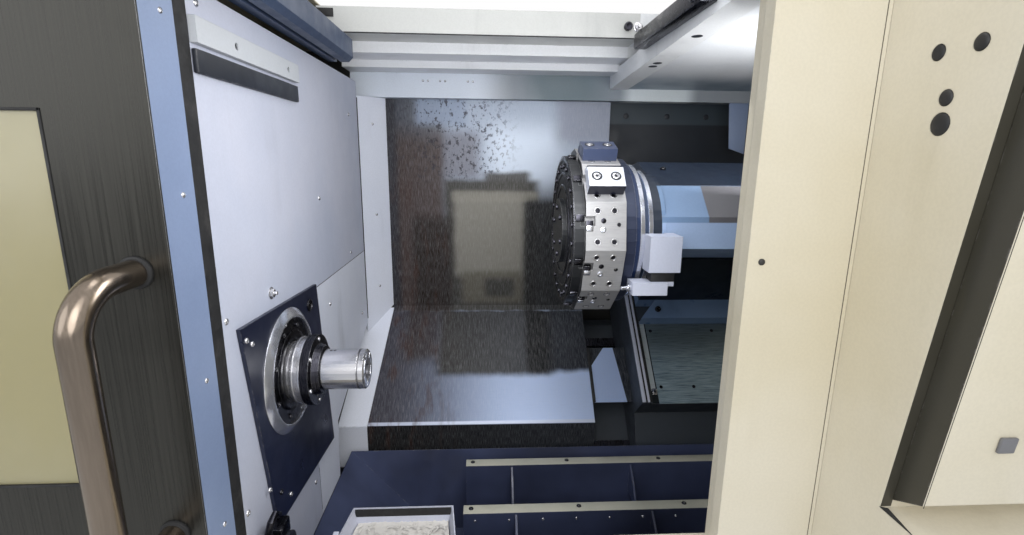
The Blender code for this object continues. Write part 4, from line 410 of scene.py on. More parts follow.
def tinted_pane():
    look = Look("glass")
    haze = look.span(look.noise(3, 4), 0.3, 0.7)
    tone = look.mix(haze, (214, 207, 174), (204, 196, 154))
    look.set(Base_Color=tone, Roughness=look.span(look.noise(20, 3), 0.3, 0.7, 0.1, 0.22), IOR=1.45)
    look.shader.inputs["Transmission Weight"].default_value = 0.55
    look.relief(look.noise(3, 2), 0.05, 0.001)
    return look.material


# Colour, second colour, roughness, share of grime, its colour, wear of the edges
PAINTS = {
    "cream": ((214, 207, 189), (205, 196, 172), 0.4, 0.34, (150, 138, 105)),
    "pale": ((198, 201, 216), (186, 192, 210), 0.44, 0.45, (120, 120, 124)),
    # The pale paint made lighter: painted light on the sheets deep inside, which the lamps reach less
    "pale_low": ((230, 234, 246), (219, 224, 238), 0.44, 0.45, (96, 98, 104)),
    "holder": ((204, 208, 220), (196, 201, 214), 0.34, 0.2, (120, 122, 130)),
    "console": ((216, 209, 191), (207, 198, 174), 0.4, 0.34, (150, 138, 105)),
    "roof": ((150, 156, 164), (132, 142, 152), 0.42, 0.45, (90, 96, 104)),
    "lining": ((244, 246, 249), (236, 240, 244), 0.42, 0.15, (150, 160, 170)),
    "blue_grey": ((140, 156, 188), (126, 142, 174), 0.38, 0.4, (60, 64, 70)),
    "rail_blue": ((64, 78, 104), (52, 64, 88), 0.38, 0.45, (32, 32, 36)),
    "housing": ((126, 152, 188), (114, 140, 174), 0.38, 0.45, (92, 88, 84)),
    "cross": ((124, 150, 186), (96, 120, 154), 0.34, 0.5, (40, 44, 52)),
    "navy": ((31, 37, 63), (23, 28, 47), 0.34, 0.3, (52, 54, 70)),
    "pan": ((72, 80, 110), (38, 42, 60), 0.36, 0.55, (20, 18, 20)),
    "dark": ((36, 40, 50), (24, 27, 34), 0.4, 0.45, (56, 56, 58)),
    "holder_dark": ((70, 80, 108), (56, 66, 94), 0.34, 0.3, (30, 30, 36)),
    "cast": ((62, 68, 76), (48, 54, 62), 0.55, 0.5, (30, 30, 32)),
    "recess": ((58, 70, 80), (44, 54, 64), 0.45, 0.45, (26, 28, 32)),
    "red": ((0.52, 0.02, 0.018), (0.44, 0.016, 0.014), 0.3, 0.2, (0.1, 0.01, 0.01), 0.0),
    "rail": ((196, 194, 178), (160, 160, 148), 0.4, 0.5, (96, 92, 80)),
    "seam": ((0.12, 0.11, 0.08), (0.09, 0.08, 0.06), 0.6, 0.2),
    "chips": ((214, 210, 204), (176, 172, 166), 0.55, 0.35, (120, 112, 100)),
    "screen": ((0.012, 0.014, 0.016), (0.008, 0.009, 0.01), 0.1, 0.1, (0.03, 0.03, 0.03), 0.0),
    "yellow": ((0.7, 0.5, 0.03), (0.6, 0.43, 0.03), 0.4, 0.3, (0.15, 0.11, 0.03)),
}

# Colour, roughness, stretch of the grain, second colour, share of oil marks, grain scale, metal, relief
METALS = {
    "steel": ((0.66, 0.66, 0.69), 0.2, (60, 1, 1), (0.58, 0.58, 0.61), 0.08, 30, 0.9, 0.008),
    "chrome": ((0.74, 0.76, 0.84), 0.17, (1, 3, 3), (0.7, 0.72, 0.8), 0.05, 12, 0.85, 0.005),
    # The handle's brown tint is a painted reflection of warm surroundings
    "handle": ((0.25, 0.205, 0.165), 0.2, (1, 1, 0.08), (0.22, 0.18, 0.145), 0.05, 260, 0.95, 0.004),
    "turret": ((0.36, 0.36, 0.37), 0.4, (2, 22, 22), (0.31, 0.31, 0.32), 0.12, 16, 0.35, 0.03),
    "door": ((66, 65, 61), 0.3, (1, 1, 0.012), (54, 53, 50), 0.16, 260, 0.75, 0.02),
    "saddle_plate": ((188, 208, 216), 0.34, (1, 34, 34), (112, 134, 146), 0.2, 14, 0.45, 0.03),
    "black_steel": ((0.045, 0.045, 0.055), 0.28, (20, 2, 2), (0.028, 0.028, 0.036), 0.2, 22, 1.0, 0.12),
}

# Stretches of a piece with a colour of their own, and stretches of painted light and shade where noted:
# colour, share, limits
ZONES = {
    # Painted shade on the rear panel's inner face
    "cream": (((52, 54, 56), 0.95, (("Y", 0.9005, 0.903, 0.0003),)),),
    "pale": (
        ((112, 121, 142), 0.95,
         (("X", -0.46, -0.29, 0.001), ("Y", 0.22, 0.2335, 0.001), ("Z", -FAR, 0.6085, 0.002))),
    ),
    "holder": (((26, 28, 44), 1.0, ((HOLDER_SIDE, -FAR, -0.0325, 0.0004),)),),
    # Painted shade on the operator panel's side and the strip of housing beside it
    "console": (
        ((46, 44, 36), 0.97,
         (("X", 0.6034, 0.6187, 0.0002), ("Y", -FAR, -0.7, 0.001), ("Z", 1.0365, FAR, 0.0005))),
    ),
    # Painted light and shade on the roof beams: each beam lighter or darker, and the rear header pale at
    # left, dark in the middle and bright at right
    "roof": (
        ((206, 207, 204), 1.0, (("Y", -FAR, 0.3098, 0.0002), ("X", -0.45, 0.6, 0.002))),
        ((248, 250, 254), 1.0, (("Y", 0.3098, 0.4298, 0.0002),)),
        ((234, 236, 240), 1.0, (("Y", 0.4298, 0.5298, 0.0002),)),
        ((224, 232, 244), 0.95, (("Y", 0.5298, FAR, 0.0002), ("X", -FAR, 0.08, 0.08))),
        ((104, 120, 128), 0.9, (("Y", 0.5298, FAR, 0.0002), ("X", 0.2, 0.46, 0.06))),
        ((222, 230, 234), 1.0, (("Y", 0.5298, FAR, 0.0002), ("X", 0.56, 0.8, 0.03))),
        ((236, 238, 240), 1.0, (("X", 0.4975, 0.5615, 0.0005), ("Y", -FAR, 0.5, 0.01))),
        ((196, 200, 206), 1.0, (("X", -FAR, -0.37, 0.0005), ("Y", -FAR, 0.0, 0.01))),
    ),
    # Painted shade, darker towards the back away from the lamp
    "lining": (((150, 168, 184), 1.0, (("Y", 0.34, FAR, 0.1),)),),
    # Painted light and shade on the housing's faces: a dark top, a grey band, a bright front and a dark
    # underside; across X, the neck and its bands
    "housing": (
        ((22, 35, 54), 1.0, (("Z", 1.4437, FAR, 0.0015), ("X", 0.479, FAR, 0.001))),
        ((98, 95, 97), 0.95, (("Z", 1.3583, 1.4437, 0.0015), ("X", 0.596, FAR, 0.002))),
        ((44, 52, 66), 1.0, (("Z", -FAR, 1.19, 0.01),)),
        ((178, 198, 232), 0.6, (("Z", 1.19, 1.3583, 0.0015), ("X", 0.479, FAR, 0.001))),
        ((26, 44, 80), 1.0, (("X", -FAR, 0.4195, 0.0004),)),
        ((192, 208, 234), 1.0, (("X", 0.4195, 0.4305, 0.0004),)),
        ((52, 66, 92), 1.0, (("X", 0.4305, 0.4435, 0.0004),)),
        ((150, 176, 212), 1.0, (("X", 0.4435, 0.4555, 0.0004),)),
        ((40, 48, 62), 1.0, (("X", 0.4555, 0.4795, 0.0006),)),
    ),
    # Painted shade on the cross slide's block, nearly black
    "cross": (((13, 17, 26), 1.0, ((OFF_BED, 0.1515, FAR, 0.0008),)),),
    # Painted shade, darker below the top of the recess
    "recess": (((22, 28, 40), 0.9, (("Z", -FAR, 1.643, 0.004),)),),
    "turret": (
        # Painted shade on the disc's left face; the neck beyond it is dark blue
        ((22, 25, 30), 0.97, (("X", -FAR, 0.2812, 0.0003),)),
        ((18, 32, 62), 0.95, (("X", 0.3758, FAR, 0.0003),)),
    ),
    "saddle_plate": (
        ((86, 96, 100), 0.75, (("Z", 0.83, FAR, 0.05),)),
        ((12, 14, 18), 0.97, (("X", -FAR, 0.639, 0.0005),)),
        ((206, 214, 216), 1.0, (("X", 0.6185, 0.635, 0.0005), ("Y", 0.215, FAR, 0.0005))),
    ),
}

NODE_LOOKS = {
    "cream": ("front_lower_panel", "front_left_panel", "front_right_panel", "front_header", "left_shell",
              "right_shell", "rear_panel"),
    "console": ("console_housing", "operator_panel"),
    "pale": ("wall_upper_sheet", "parts_tray", "coolant_block"),
    "pale_low": ("wall_lower_sheet", "corner_panel", "filler_panel"),
    "holder": ("tool_holder_a",),
    "roof": ("rear_roof_beams", "roof_rail_right", "lamp_bracket"),
    "blue_grey": ("door_frame",),
    "rail_blue": ("roof_rail_left",),
    "housing": ("turret_housing",),
    "cross": ("cross_slide",),
    "saddle_plate": ("saddle_plate",),
    "holder_dark": ("tool_holder_b",),
    "navy": ("guard_plate",),
    "pan": ("chip_pan", "trough_wall_rear", "trough_wall_front"),
    "dark": ("tray_bearing", "x_motor", "z_motor"),
    "recess": ("recess_panel",),
    "cast": ("base", "slant_bed", "headstock", "main_motor", "saddle"),
    "steel": ("front_bearing", "rear_bearing", "spindle", "mandrel", "z_screw", "x_screw"),
    "chrome": ("spindle_ring",),
    "handle": ("door_handle",),
    "turret": ("turret_disc",),
    "stainless": ("carriage_cover",),
    "door": ("door_panel",),
    "black_steel": ("z_rail_lower", "z_rail_upper", "mandrel_flange", "spindle_pulley", "motor_pulley",
                    "seal_disc"),
    "rubber": ("drive_belt", "door_seal"),
    "glass": ("door_window",),
    "red": ("emergency_stop",),
    "grey_plastic": ("override_dial",),
}


def make_looks():
    looks = {name: painted(name, *row, zones=ZONES.get(name, ())) for name, row in PAINTS.items()}
    for name, row in METALS.items():
        looks[name] = machined(name, *row, ZONES.get(name, ()))
    looks["stainless"] = stained_shaded_cover()
    looks["glass"] = tinted_pane()
    looks["rubber"] = rubbery("rubber", (0.012, 0.012, 0.013), 0.62)
    looks["grey_plastic"] = rubbery("grey_plastic", (0.16, 0.16, 0.17), 0.48)
    return looks


LOOKS = make_looks()


def dress_nodes():
    for look, names in NODE_LOOKS.items():
        for name in names:
            slots = NODES[name].data.materials
            for i in range(len(slots)):
                slots[i] = LOOKS[look]


def aimed(place, direction):
    """A frame at a place whose Z points along a direction."""
    facing = Vector(direction).to_track_quat("Z", "Y").to_matrix().to_4x4()
    return Matrix.Translation(place) @ facing


def around(axis, x, radius, degrees):
    """A point at an angle about an axis that runs along X through the given Y and Z."""
    a = radians(degrees)
    return (x, axis[0] + radius * cos(a), axis[1] + radius * sin(a))


# Radius and height of a head as shares of its own; a third value makes the row hexagonal
CAP = ((1, 0.8), (0.96, 0.94), (0.86, 1), (0.58, 1, 1), (0.54, 0.93, 1), (0.54, 0.35, 1), (0, 0.3))
BUTTON = ((1, 0.15), (0.93, 0.5), (0.74, 0.82), (0.5, 0.97), (0.42, 1, 1), (0.38, 0.4, 1), (0, 0.35))
PLUG = ((1, 0.3), (0.94, 0.6), (0.8, 0.85), (0.5, 1), (0, 1.02))


class Group:
    """Small forms that share a body and a material, gathered in one mesh."""

    unfinished = []

    def __init__(self, name, look, body="machine"):
        self.name, self.look, self.body = name, look, body
        self.shape = bmesh.new()
        self.unfinished.append(self)

    def ring(self, frame_at, radius, z, steps, hexed=False):
        made = []
        for i in range(steps):
            a = 2 * pi * i / steps
            r = radius
            if hexed:
                r = radius / cos((a + pi / 6) % (pi / 3) - pi / 6)
            made.append(self.shape.verts.new(frame_at @ Vector((r * cos(a), r * sin(a), z))))
        return made

    def band(self, last, now):
        """Faces between two rings."""
        for i in range(len(now)):
            j = (i + 1) % len(now)
            self.shape.faces.new((last[i], last[j], now[j], now[i]))

    def turned(self, frame_at, profile, steps=24, closed=True):
        """A turned form from (radius, z[, hexed]) rows; a radius of 0 closes the end."""
        last = None
        for row in profile:
            if row[0] == 0:
                tip = self.shape.verts.new(frame_at @ Vector((0, 0, row[1])))
                for i in range(steps if last else 0):
                    self.shape.faces.new((last[i], last[(i + 1) % steps], tip))
                last = None
                continue
            now = self.ring(frame_at, row[0], row[1], steps, len(row) > 2)
            if last:
                self.band(last, now)
            last = now
        if last and closed:
            self.shape.faces.new(last)

    def collar(self, frame_at, low, high, r, depth, edge, steps):
        """A raised band round a shaft, with softened edges."""
        self.turned(frame_at, [(r - depth, low), (r - edge, low), (r, low + edge), (r, high - edge),
                               (r - edge, high), (r - depth, high)], steps, False)

    def heads(self, shares, places, direction, r, h, steps=24):
        """Screw heads or plugs from rows of a radius and a height, as shares of r and h."""
        rows = [(r, SUNK)] + [(r * wide, h * tall, *hexed) for wide, tall, *hexed in shares]
        for place in places:
            self.turned(aimed(place, direction), rows, steps)

    cap_screws = partialmethod(heads, CAP)
    button_screws = partialmethod(heads, BUTTON)
    plugs = partialmethod(heads, PLUG)

    def nut(self, place, direction, r, h, stud):
        at = aimed(place, direction)
        self.turned(at, [(r * 1.35, SUNK), (r * 1.35, h * 0.18), (r * 1.28, h * 0.22)])
        self.turned(at, [(r * 0.86, h * 0.2, 1), (r * 0.86, h * 0.85, 1), (r * 0.8, h, 1), (stud, h),
                         (stud, h * 1.7), (stud * 0.85, h * 1.9), (0, h * 1.9)])

    def take(self, made, edge, matrix):
        """Softens the edges of a small form, moves it and adds it to the group."""
        if edge:
            bmesh.ops.bevel(made, geom=made.edges[:], offset=edge, segments=2, affect="EDGES", profile=0.5)
        bmesh.ops.transform(made, matrix=matrix, verts=made.verts)
        mesh = bpy.data.meshes.new("form")
        made.to_mesh(mesh)
        made.free()
        self.shape.from_mesh(mesh)
        bpy.data.meshes.remove(mesh)

    def block(self, low, high, edge=0.001, turn=None):
        made = bmesh.new()
        bmesh.ops.create_cube(made, size=1)
        low, high = Vector(low), Vector(high)
        bmesh.ops.scale(made, vec=high - low, verts=made.verts)
        self.take(made, edge, (turn or Matrix.Identity(4)) @ Matrix.Translation((high + low) / 2))

    def sheet(self, outline, thick, frame_at, edge=0.0006):
        """A flat plate from an outline in a frame's X and Y, pushed along its Z, with softened edges."""
        made = bmesh.new()
        made.faces.new([made.verts.new((x, y, 0)) for x, y in outline])
        pushed = bmesh.ops.extrude_face_region(made, geom=made.faces[:])
        top = [v for v in pushed["geom"] if isinstance(v, bmesh.types.BMVert)]
        bmesh.ops.translate(made, vec=(0, 0, thick), verts=top)
        bmesh.ops.recalc_face_normals(made, faces=made.faces)
        self.take(made, edge, frame_at)

    def tube(self, points, radius, steps=14, rings=None):
        """A round bar along a line of points; rings may give a radius for each point."""
        last, side = None, None
        for i, point in enumerate(points):
            ahead = Vector(points[min(i + 1, len(points) - 1)]) - Vector(points[max(i - 1, 0)])
            ahead.normalize()
            side = side or ahead.orthogonal()
            side = (side - ahead * side.dot(ahead)).normalized()
            turn = Matrix((side, ahead.cross(side), ahead)).transposed().to_4x4()
            now = self.ring(Matrix.Translation(point) @ turn, rings[i] if rings else radius, 0, steps)
            if last:
                self.band(last, now)
            else:
                self.shape.faces.new(now[::-1])
            last = now
        self.shape.faces.new(last)

    def done(self, smooth=40):
        self.unfinished.remove(self)
        bmesh.ops.recalc_face_normals(self.shape, faces=self.shape.faces)
        mesh = bpy.data.meshes.new(self.name)
        self.shape.to_mesh(mesh)
        self.shape.free()
        mesh.shade_smooth()
        mesh.set_sharp_from_angle(angle=radians(smooth))
        mesh.materials.append(LOOKS[self.look])
        made = placed(self.name, mesh)
        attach(made, self.body)
        return made


ROOT = sqrt(2)
OFF_SLOPE = (0, -1 / ROOT, 1 / ROOT)


def slope_frame(x=0.0, s=0.0, n=0.0):
    """A frame on the bed's slope: X along the machine, Y up the slope and Z off it."""
    turn = Matrix(((1, 0, 0), (0, 1 / ROOT, -1 / ROOT), (0, 1 / ROOT, 1 / ROOT))).to_4x4()
    return Matrix.Translation((x, LIP_Y + (s - n) / ROOT, LIP_Z + (s + n) / ROOT)) @ turn


def dress_wall():
    screws = Group("wall_screws", "steel")
    spots = ((-0.5215, 1.232), (0.0116, 1.399), (0.0429, 1.098), (-0.1732, 0.68), (0.294, 1.2),
             (0.36, 1.64), (-0.3, 1.64), (-0.5215, 0.86), (0.1, 0.83), (0.4, 0.96), (-0.505, 1.735))
    screws.button_screws([(WALL_X, y, z) for y, z in spots], EAST, 0.0062, 0.0035)
    screws.nut((WALL_X, -0.3352, 1.232), EAST, 0.0095, 0.007, 0.0042)
    screws.button_screws([(-0.348, 0.52, z) for z in (1.03, 1.3, 1.62)], (1, -1, 0), 0.005, 0.003)
    seams = Group("wall_seams", "rubber")
    seams.block((WALL_X, -0.14, 1.1722), (WALL_X + SEAM, 0.477, 1.1738), 0)
    seams.block((WALL_X, -0.141, 0.575), (WALL_X + SEAM, -0.1398, 0.7), 0)
    seams.tube([(WALL_X + 0.0012, 0.4776, 0.915), (WALL_X + 0.0012, 0.4776, 1.705)], 0.0016, 8)
    strip = Group("lamp_strip", "dark")
    strip.block((WALL_X + 0.0003, -0.533, 1.63), (WALL_X + 0.0085, -0.108, 1.6655), 0.002)
    bolts = Group("lamp_bolts", "black_steel")
    bolts.cap_screws([(WALL_X + 0.0055, y, 1.6923) for y in (-0.408, -0.17)], EAST, 0.0052, 0.0045)


def dress_guard():
    screws = Group("guard_screws", "steel")
    spots = ((-0.4745, 1.18), (-0.4547, 1.166), (-0.4435, 0.852), (-0.3478, 0.7726), (-0.4323, 0.7667))
    screws.button_screws([(GUARD_X, y, z) for y, z in spots], EAST, 0.0058, 0.0034)
    dark = Group("guard_dark_screws", "black_steel")
    dark.cap_screws([(GUARD_X, -0.3958, 0.8126)], EAST, 0.006, 0.003)
    dark.turned(aimed((GUARD_X, -0.1457, 1.15), EAST), [
        (0.0155, SUNK), (0.0155, 0.003), (0.014, 0.0045), (0.0105, 0.0045), (0.0095, 0.0025), (0, 0.002),
    ], 32)
    dark.cap_screws([around(SPINDLE, NOSE_X, 0.1, 22 + 45 * i) for i in range(8)], EAST, 0.0056, 0.004)
    dark.turned(aimed((NOSE_X, *SPINDLE), EAST), [
        (0.088, SUNK), (0.088, 0.003), (0.0865, 0.004), (0.07, 0.004), (0.068, 0.003), (0.066, SUNK),
    ], 72, False)
    ring = Group("smooth_ring", "chrome")
    ring.turned(aimed((0, *SPINDLE), EAST), [
        (0.1166, RING_X), (0.138, RING_X), (0.138, -0.3805), (0.1374, -0.3799), (0.129, -0.3745),
        (0.1225, -0.3704), (0.1214, -0.3699), (0.1176, -0.3699), (0.1167, -0.3706), (0.1166, RING_X),
    ], 160, False)
    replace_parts(ring.done(25), "spindle_ring")
    studs = Group("disc_studs", "steel")
    studs.plugs([around(SPINDLE, NOSE_X, 0.11, a) for a in (100, 205, 285)], EAST, 0.0028, 0.0022, 16)


def dress_spindle():
    y, z = SPINDLE
    along = aimed((0, y, z), EAST)
    bands = Group("nose_bands", "steel", "spindle_unit")
    for low, high, r in ((-0.3745, -0.366, 0.0632), (-0.356, -0.3525, 0.0736), (-0.3425, -0.3375, 0.0742)):
        bands.collar(along, low, high, r, 0.002, 0.0006, 96)
    bolts = Group("flange_bolts", "steel", "spindle_unit")
    bolts.cap_screws([around(SPINDLE, -0.3187, 0.0675, 80 + 60 * i) for i in range(6)], EAST, 0.0048, 0.0018)
    dark = Group("mandrel_marks", "black_steel", "spindle_unit")
    for rows in (((0.0415, -0.2268), (0.04445, -0.2268), (0.04445, -0.2252), (0.0415, -0.2252)),
                 ((0.044, -0.3047), (0.0452, -0.3047), (0.0452, -0.303), (0.044, -0.3026))):
        dark.turned(along, rows, 96, False)
    dark.plugs([(x, y, z + 0.0438) for x in (-0.29, -0.281)], UP, 0.0032, 0.0005, 16)
    star = []
    for i in range(12):
        r = 0.0205 if i % 2 else 0.0125
        star.append((r * cos(pi * i / 6), r * sin(pi * i / 6)))
    dark.sheet(star, 0.02, aimed((-0.242, y, z), EAST), 0.0008)
    tips = Group("mandrel_segments", "chrome", "spindle_unit")
    for i in range(6):
        start, end = radians(60 * i + 6), radians(60 * i + 54)
        arc = [start + (end - start) * k / 8 for k in range(9)]
        rows = [(0.0375 * cos(a), 0.0375 * sin(a)) for a in arc]
        rows += [(0.025 * cos(a), 0.025 * sin(a)) for a in reversed(arc)]
        tips.sheet(rows, 0.0012, aimed((-0.2121, y, z), EAST), 0.0004)


STATION_FLAT = 0.2077
FIRST_TILT = 10.5
HOLDER_STATIONS = (1, 2)
HOLDER_X = 0.328


def turret_frame(station, x, t, r):
    """A frame on a turret face: Z points out of the station, and X runs along the machine."""
    a = radians(FIRST_TILT + 30 * station)
    out = Vector((0, -cos(a), sin(a)))
    side = Vector((0, sin(a), cos(a)))
    place = Vector((x, *TURRET)) + out * r + side * t
    return Matrix.Translation(place) @ Matrix((EAST, side, out)).transposed().to_4x4()


def dress_turret():
    pins = Group("station_pins", "chrome", "turret")
    dark = Group("station_bores", "black_steel", "turret")
    rims = Group("station_rims", "steel", "turret")
    for i in range(12):
        for x, t in product((0.3085, 0.3475), (-0.036, 0.036)):
            dark.turned(turret_frame(i, x, t, STATION_FLAT - 0.0035), [(0.0058, 0), (0, 0.0)], 12)
            rims.turned(turret_frame(i, x, t, STATION_FLAT),
                        [(0.0082, 0), (0.0078, 0.0004), (0.0064, 0.0004), (0.006, 0)], 20, False)
        if i in HOLDER_STATIONS:
            continue
        for x, t, r in ((0.322, 0.013, 0.0062), (0.358, 0.004, 0.0048)):
            dark.turned(turret_frame(i, x, t, STATION_FLAT),
                        [(r, -0.0003), (r, 0.0005), (r * 0.92, 0.0008), (0, 0.0006)], 20)
        pins.turned(turret_frame(i, 0.321, -0.008, STATION_FLAT), [
            (0.0068, -0.0003), (0.0068, 0.0014), (0.0058, 0.0022), (0.0034, 0.0022, 1), (0.0032, 0.0004, 1),
            (0, 0.0003),
        ])
        slot = turret_frame(i, 0.2816, 0, STATION_FLAT)
        dark.block((0, -0.0115, -0.01), (0.0165, 0.0135, 0.0004), 0.0003, slot)
        pins.block((0.001, -0.0105, -0.01), (0.0155, 0.0015, 0.0012), 0.0008, slot)
    core = Group("turret_rings", "black_steel", "turret")
    along = aimed((0, *TURRET), WEST)
    for r, w, h in ((0.188, 0.006, 0.0025), (0.15, 0.004, 0.002), (0.118, 0.005, 0.0028)):
        core.turned(along, [
            (r + w, -0.2572), (r + w, -0.257 + h * 0.6), (r + w * 0.7, -0.257 + h),
            (r - w * 0.7, -0.257 + h), (r - w, -0.257 + h * 0.6), (r - w, -0.2572),
        ], 96, False)
    core.cap_screws([around(TURRET, 0.257, 0.17, 15 * i + 3) for i in range(24)], WEST, 0.0062, 0.005, 12)
    for i in range(12):
        core.block((-0.01, -0.008, -0.004), (0.01, 0.008, 0.003), 0.001,
                   turret_frame(i, 0.269, 0.02, 0.1975))
    core.cap_screws([around(TURRET, 0.245, 0.062, 60 * i + 20) for i in range(6)], WEST, 0.007, 0.005, 12)
    screws = Group("holder_screws", "steel", "turret")
    wedge = Group("holder_wedges", "dark", "turret")
    for i in HOLDER_STATIONS:
        for x in (0.306, 0.35):
            wedge.turned(turret_frame(i, x, -0.004, 0.238), [(0.0126, 0), (0.0126, 0.0004), (0, 0.0004)], 32)
            screws.turned(turret_frame(i, x, -0.004, 0.2384), [
                (0.0084, 0), (0.0084, 0.001), (0.0076, 0.0016), (0.0048, 0.0016), (0.0046, 0.0003),
                (0, 0.0003),
            ], 32)
            wedge.turned(turret_frame(i, x, -0.004, 0.2386), [(0.0045, 0), (0.0045, 0.0003), (0, 0.0003)], 6)
        wedge.block((0.2875 - HOLDER_X, 0.0225, 0.0138), (0.3685 - HOLDER_X, 0.033, 0.023), 0.0012,
                    turret_frame(i, HOLDER_X, 0, 0.208))
        side = turret_frame(i, 0, 0, 0).col[1].to_3d()
        places = [turret_frame(i, x, 0.034, 0.218).translation for x in (0.3, 0.356)]
        wedge.plugs(places, side, 0.0042, 0.0006, 16)


def dress_cross():
    rings = Group("neck_rings", "chrome", "cross_unit")
    for low, high, r in ((0.4185, 0.4298, 0.1768), (0.4435, 0.4548, 0.1618)):
        rings.collar(aimed((0, *TURRET), EAST), low, high, r, 0.003, 0.001, 128)
    bolts = Group("cross_bolts", "black_steel", "cross_unit")
    places = [slope_frame(x, 0.362, 0.15).translation for x in (0.68, 0.955)]
    bolts.cap_screws(places, OFF_SLOPE, 0.0105, 0.008)
    bolts.cap_screws([(x, 0.02, 1.4822) for x in (0.535, 0.88)], (0, -0.32, 0.95), 0.0075, 0.005)
    nozzle = Group("coolant_nozzle", "chrome", "cross_unit")
    path = [(x, -0.218, 1.21) for x in (0.3948, 0.39, 0.3895, 0.3865, 0.386)]
    path += [(x, -0.219, 1.209) for x in (0.372, 0.3705)]
    nozzle.tube(path, 0.004, 20, [0.0085, 0.0085, 0.0105, 0.0105, 0.005, 0.0048, 0.003])
    neck = Group("coolant_neck_wrap", "rubber", "cross_unit")
    neck.block((0.4395, -0.2256, 1.2255), (0.4962, -0.1944, 1.2495), 0.002)


def dress_saddle():
    at = slope_frame(0.578, 0, 0.108)
    strip = Group("wiper_strips", "pale", "carriage")
    strip.block((0.0005, 0.032, 0.0), (0.0125, 0.615, 0.005), 0.001, at)
    strip.block((0.0185, 0.032, 0.0), (0.0265, 0.615, 0.0045), 0.001, at)
    dark = Group("wiper_rubber", "rubber", "carriage")
    dark.block((0.011, 0.033, 0.0), (0.0185, 0.614, 0.003), 0.001, at)
    dark.block((0.0265, 0.033, 0.0), (0.035, 0.614, 0.002), 0.0008, at)
    bar = Group("saddle_bar", "steel", "carriage")
    bar.block((0.619, 0.058, 0.0), (0.635, 0.0795, 0.011), 0.0012, slope_frame(0, 0, 0.0998))
    screws = Group("saddle_screws", "black_steel", "carriage")
    for x, s in ((0.655, 0.088), (0.77, 0.088), (0.885, 0.088), (0.655, 0.3), (0.885, 0.3)):
        screws.turned(slope_frame(x, s, 0.0997), [(0.006, 0), (0.006, 0.0002), (0, 0.0002)])
    screws.cap_screws([slope_frame(0.627, 0.069, 0.1108).translation], OFF_SLOPE, 0.0052, 0.003)
    # A dark rubber strip along the cover's right edge that stands for the painted shadow there
    edge = Group("cover_edge_shadow", "rubber", "carriage")
    edge.block((0.4334, 0.0705, -0.0025), (0.444, 0.2795, 0.0035), 0.001, slope_frame())


def dress_pan():
    bolts = Group("trough_bolts", "black_steel")
    places = product((0.0109, 0.308, 0.6042, 0.805), (0.068, -0.149), (RAIL_TOP,))
    bolts.button_screws(places, UP, 0.0068, 0.0036)
    caps = Group("trough_caps", "rail")
    for y in (0.047, -0.17):
        caps.block((-0.0098, y + 0.0005, RAIL_TOP - 0.001), (0.8298, y + 0.0355, RAIL_TOP + 0.0003), 0.0003)
    row = Group("trough_row", "steel")
    row.button_screws([(0.022 + 0.092 * i, -0.17, 0.548) for i in range(9)], FRONT, 0.0036, 0.002, 12)


def dress_roof():
    gap = Group("roof_gap", "rubber")
    gap.block((-0.4195, 0.1884, 1.8478), (0.5598, 0.1899, 1.8508), 0.0003)
    gap.block((-0.419, 0.186, 1.889), (-0.372, 0.1899, 1.911), 0.0006)
    bolts = Group("roof_bolt", "steel")
    bolts.nut((0.4917, 0.1899, 1.881), FRONT, 0.01, 0.01, 0.005)
    pairs = (-0.1673, -0.15, -0.108, -0.09, -0.01, 0.008)
    bolts.button_screws([(x, 0.5298, 1.77) for x in pairs], FRONT, 0.0042, 0.003)
    roller = Group("roof_roller", "black_steel")
    roller.block((0.462, -0.33, 1.806), (0.4975, 0.12, 1.846), 0.004)
    roller.turned(aimed((0.462, 0.189, 1.881), FRONT),
                  [(0.012, -0.001), (0.012, 0.01), (0.01, 0.012), (0.004, 0.012), (0, 0.01)], 28)
    roller.turned(aimed((0.462, -0.3, 1.826), WEST),
                  [(0.014, 0), (0.014, 0.006), (0.011, 0.008), (0.004, 0.008), (0, 0.006)], 28)
    # The right-hand rail and its lining fall towards the back
    fall = 0.049 / 1.09
    bores = Group("roof_rail_bores", "dark")
    places = [(0.53, y, 1.8 - fall * (y + 0.56)) for y in (-0.158, 0.11, 0.15)]
    bores.plugs(places, (0, -0.045, -1), 0.0125, 0.0008, 24)
    bores.plugs([(x, 0.7, 1.674) for x in (0.6086, 0.7742, 0.9327)], FRONT, 0.0105, 0.002, 24)
    tab = Group("side_bracket", "blue_grey")
    upright = Matrix.Translation((0, 0.5395, 0)) @ Matrix.Rotation(pi / 2, 4, "X")
    tab.sheet([(0.9455, 1.7123), (0.96, 1.55), (1.02, 1.53), (1.02, 1.7123)], 0.003, upright)
    lining = Group("roof_lining", "lining")
    tilted = Matrix.Translation((0, -0.56, 1.802)) @ Matrix.Rotation(-atan(fall), 4, "X")
    lining.block((0.5615, 0.002, 0), (1.295, 1.088, 0.0015), 0.0003, tilted)


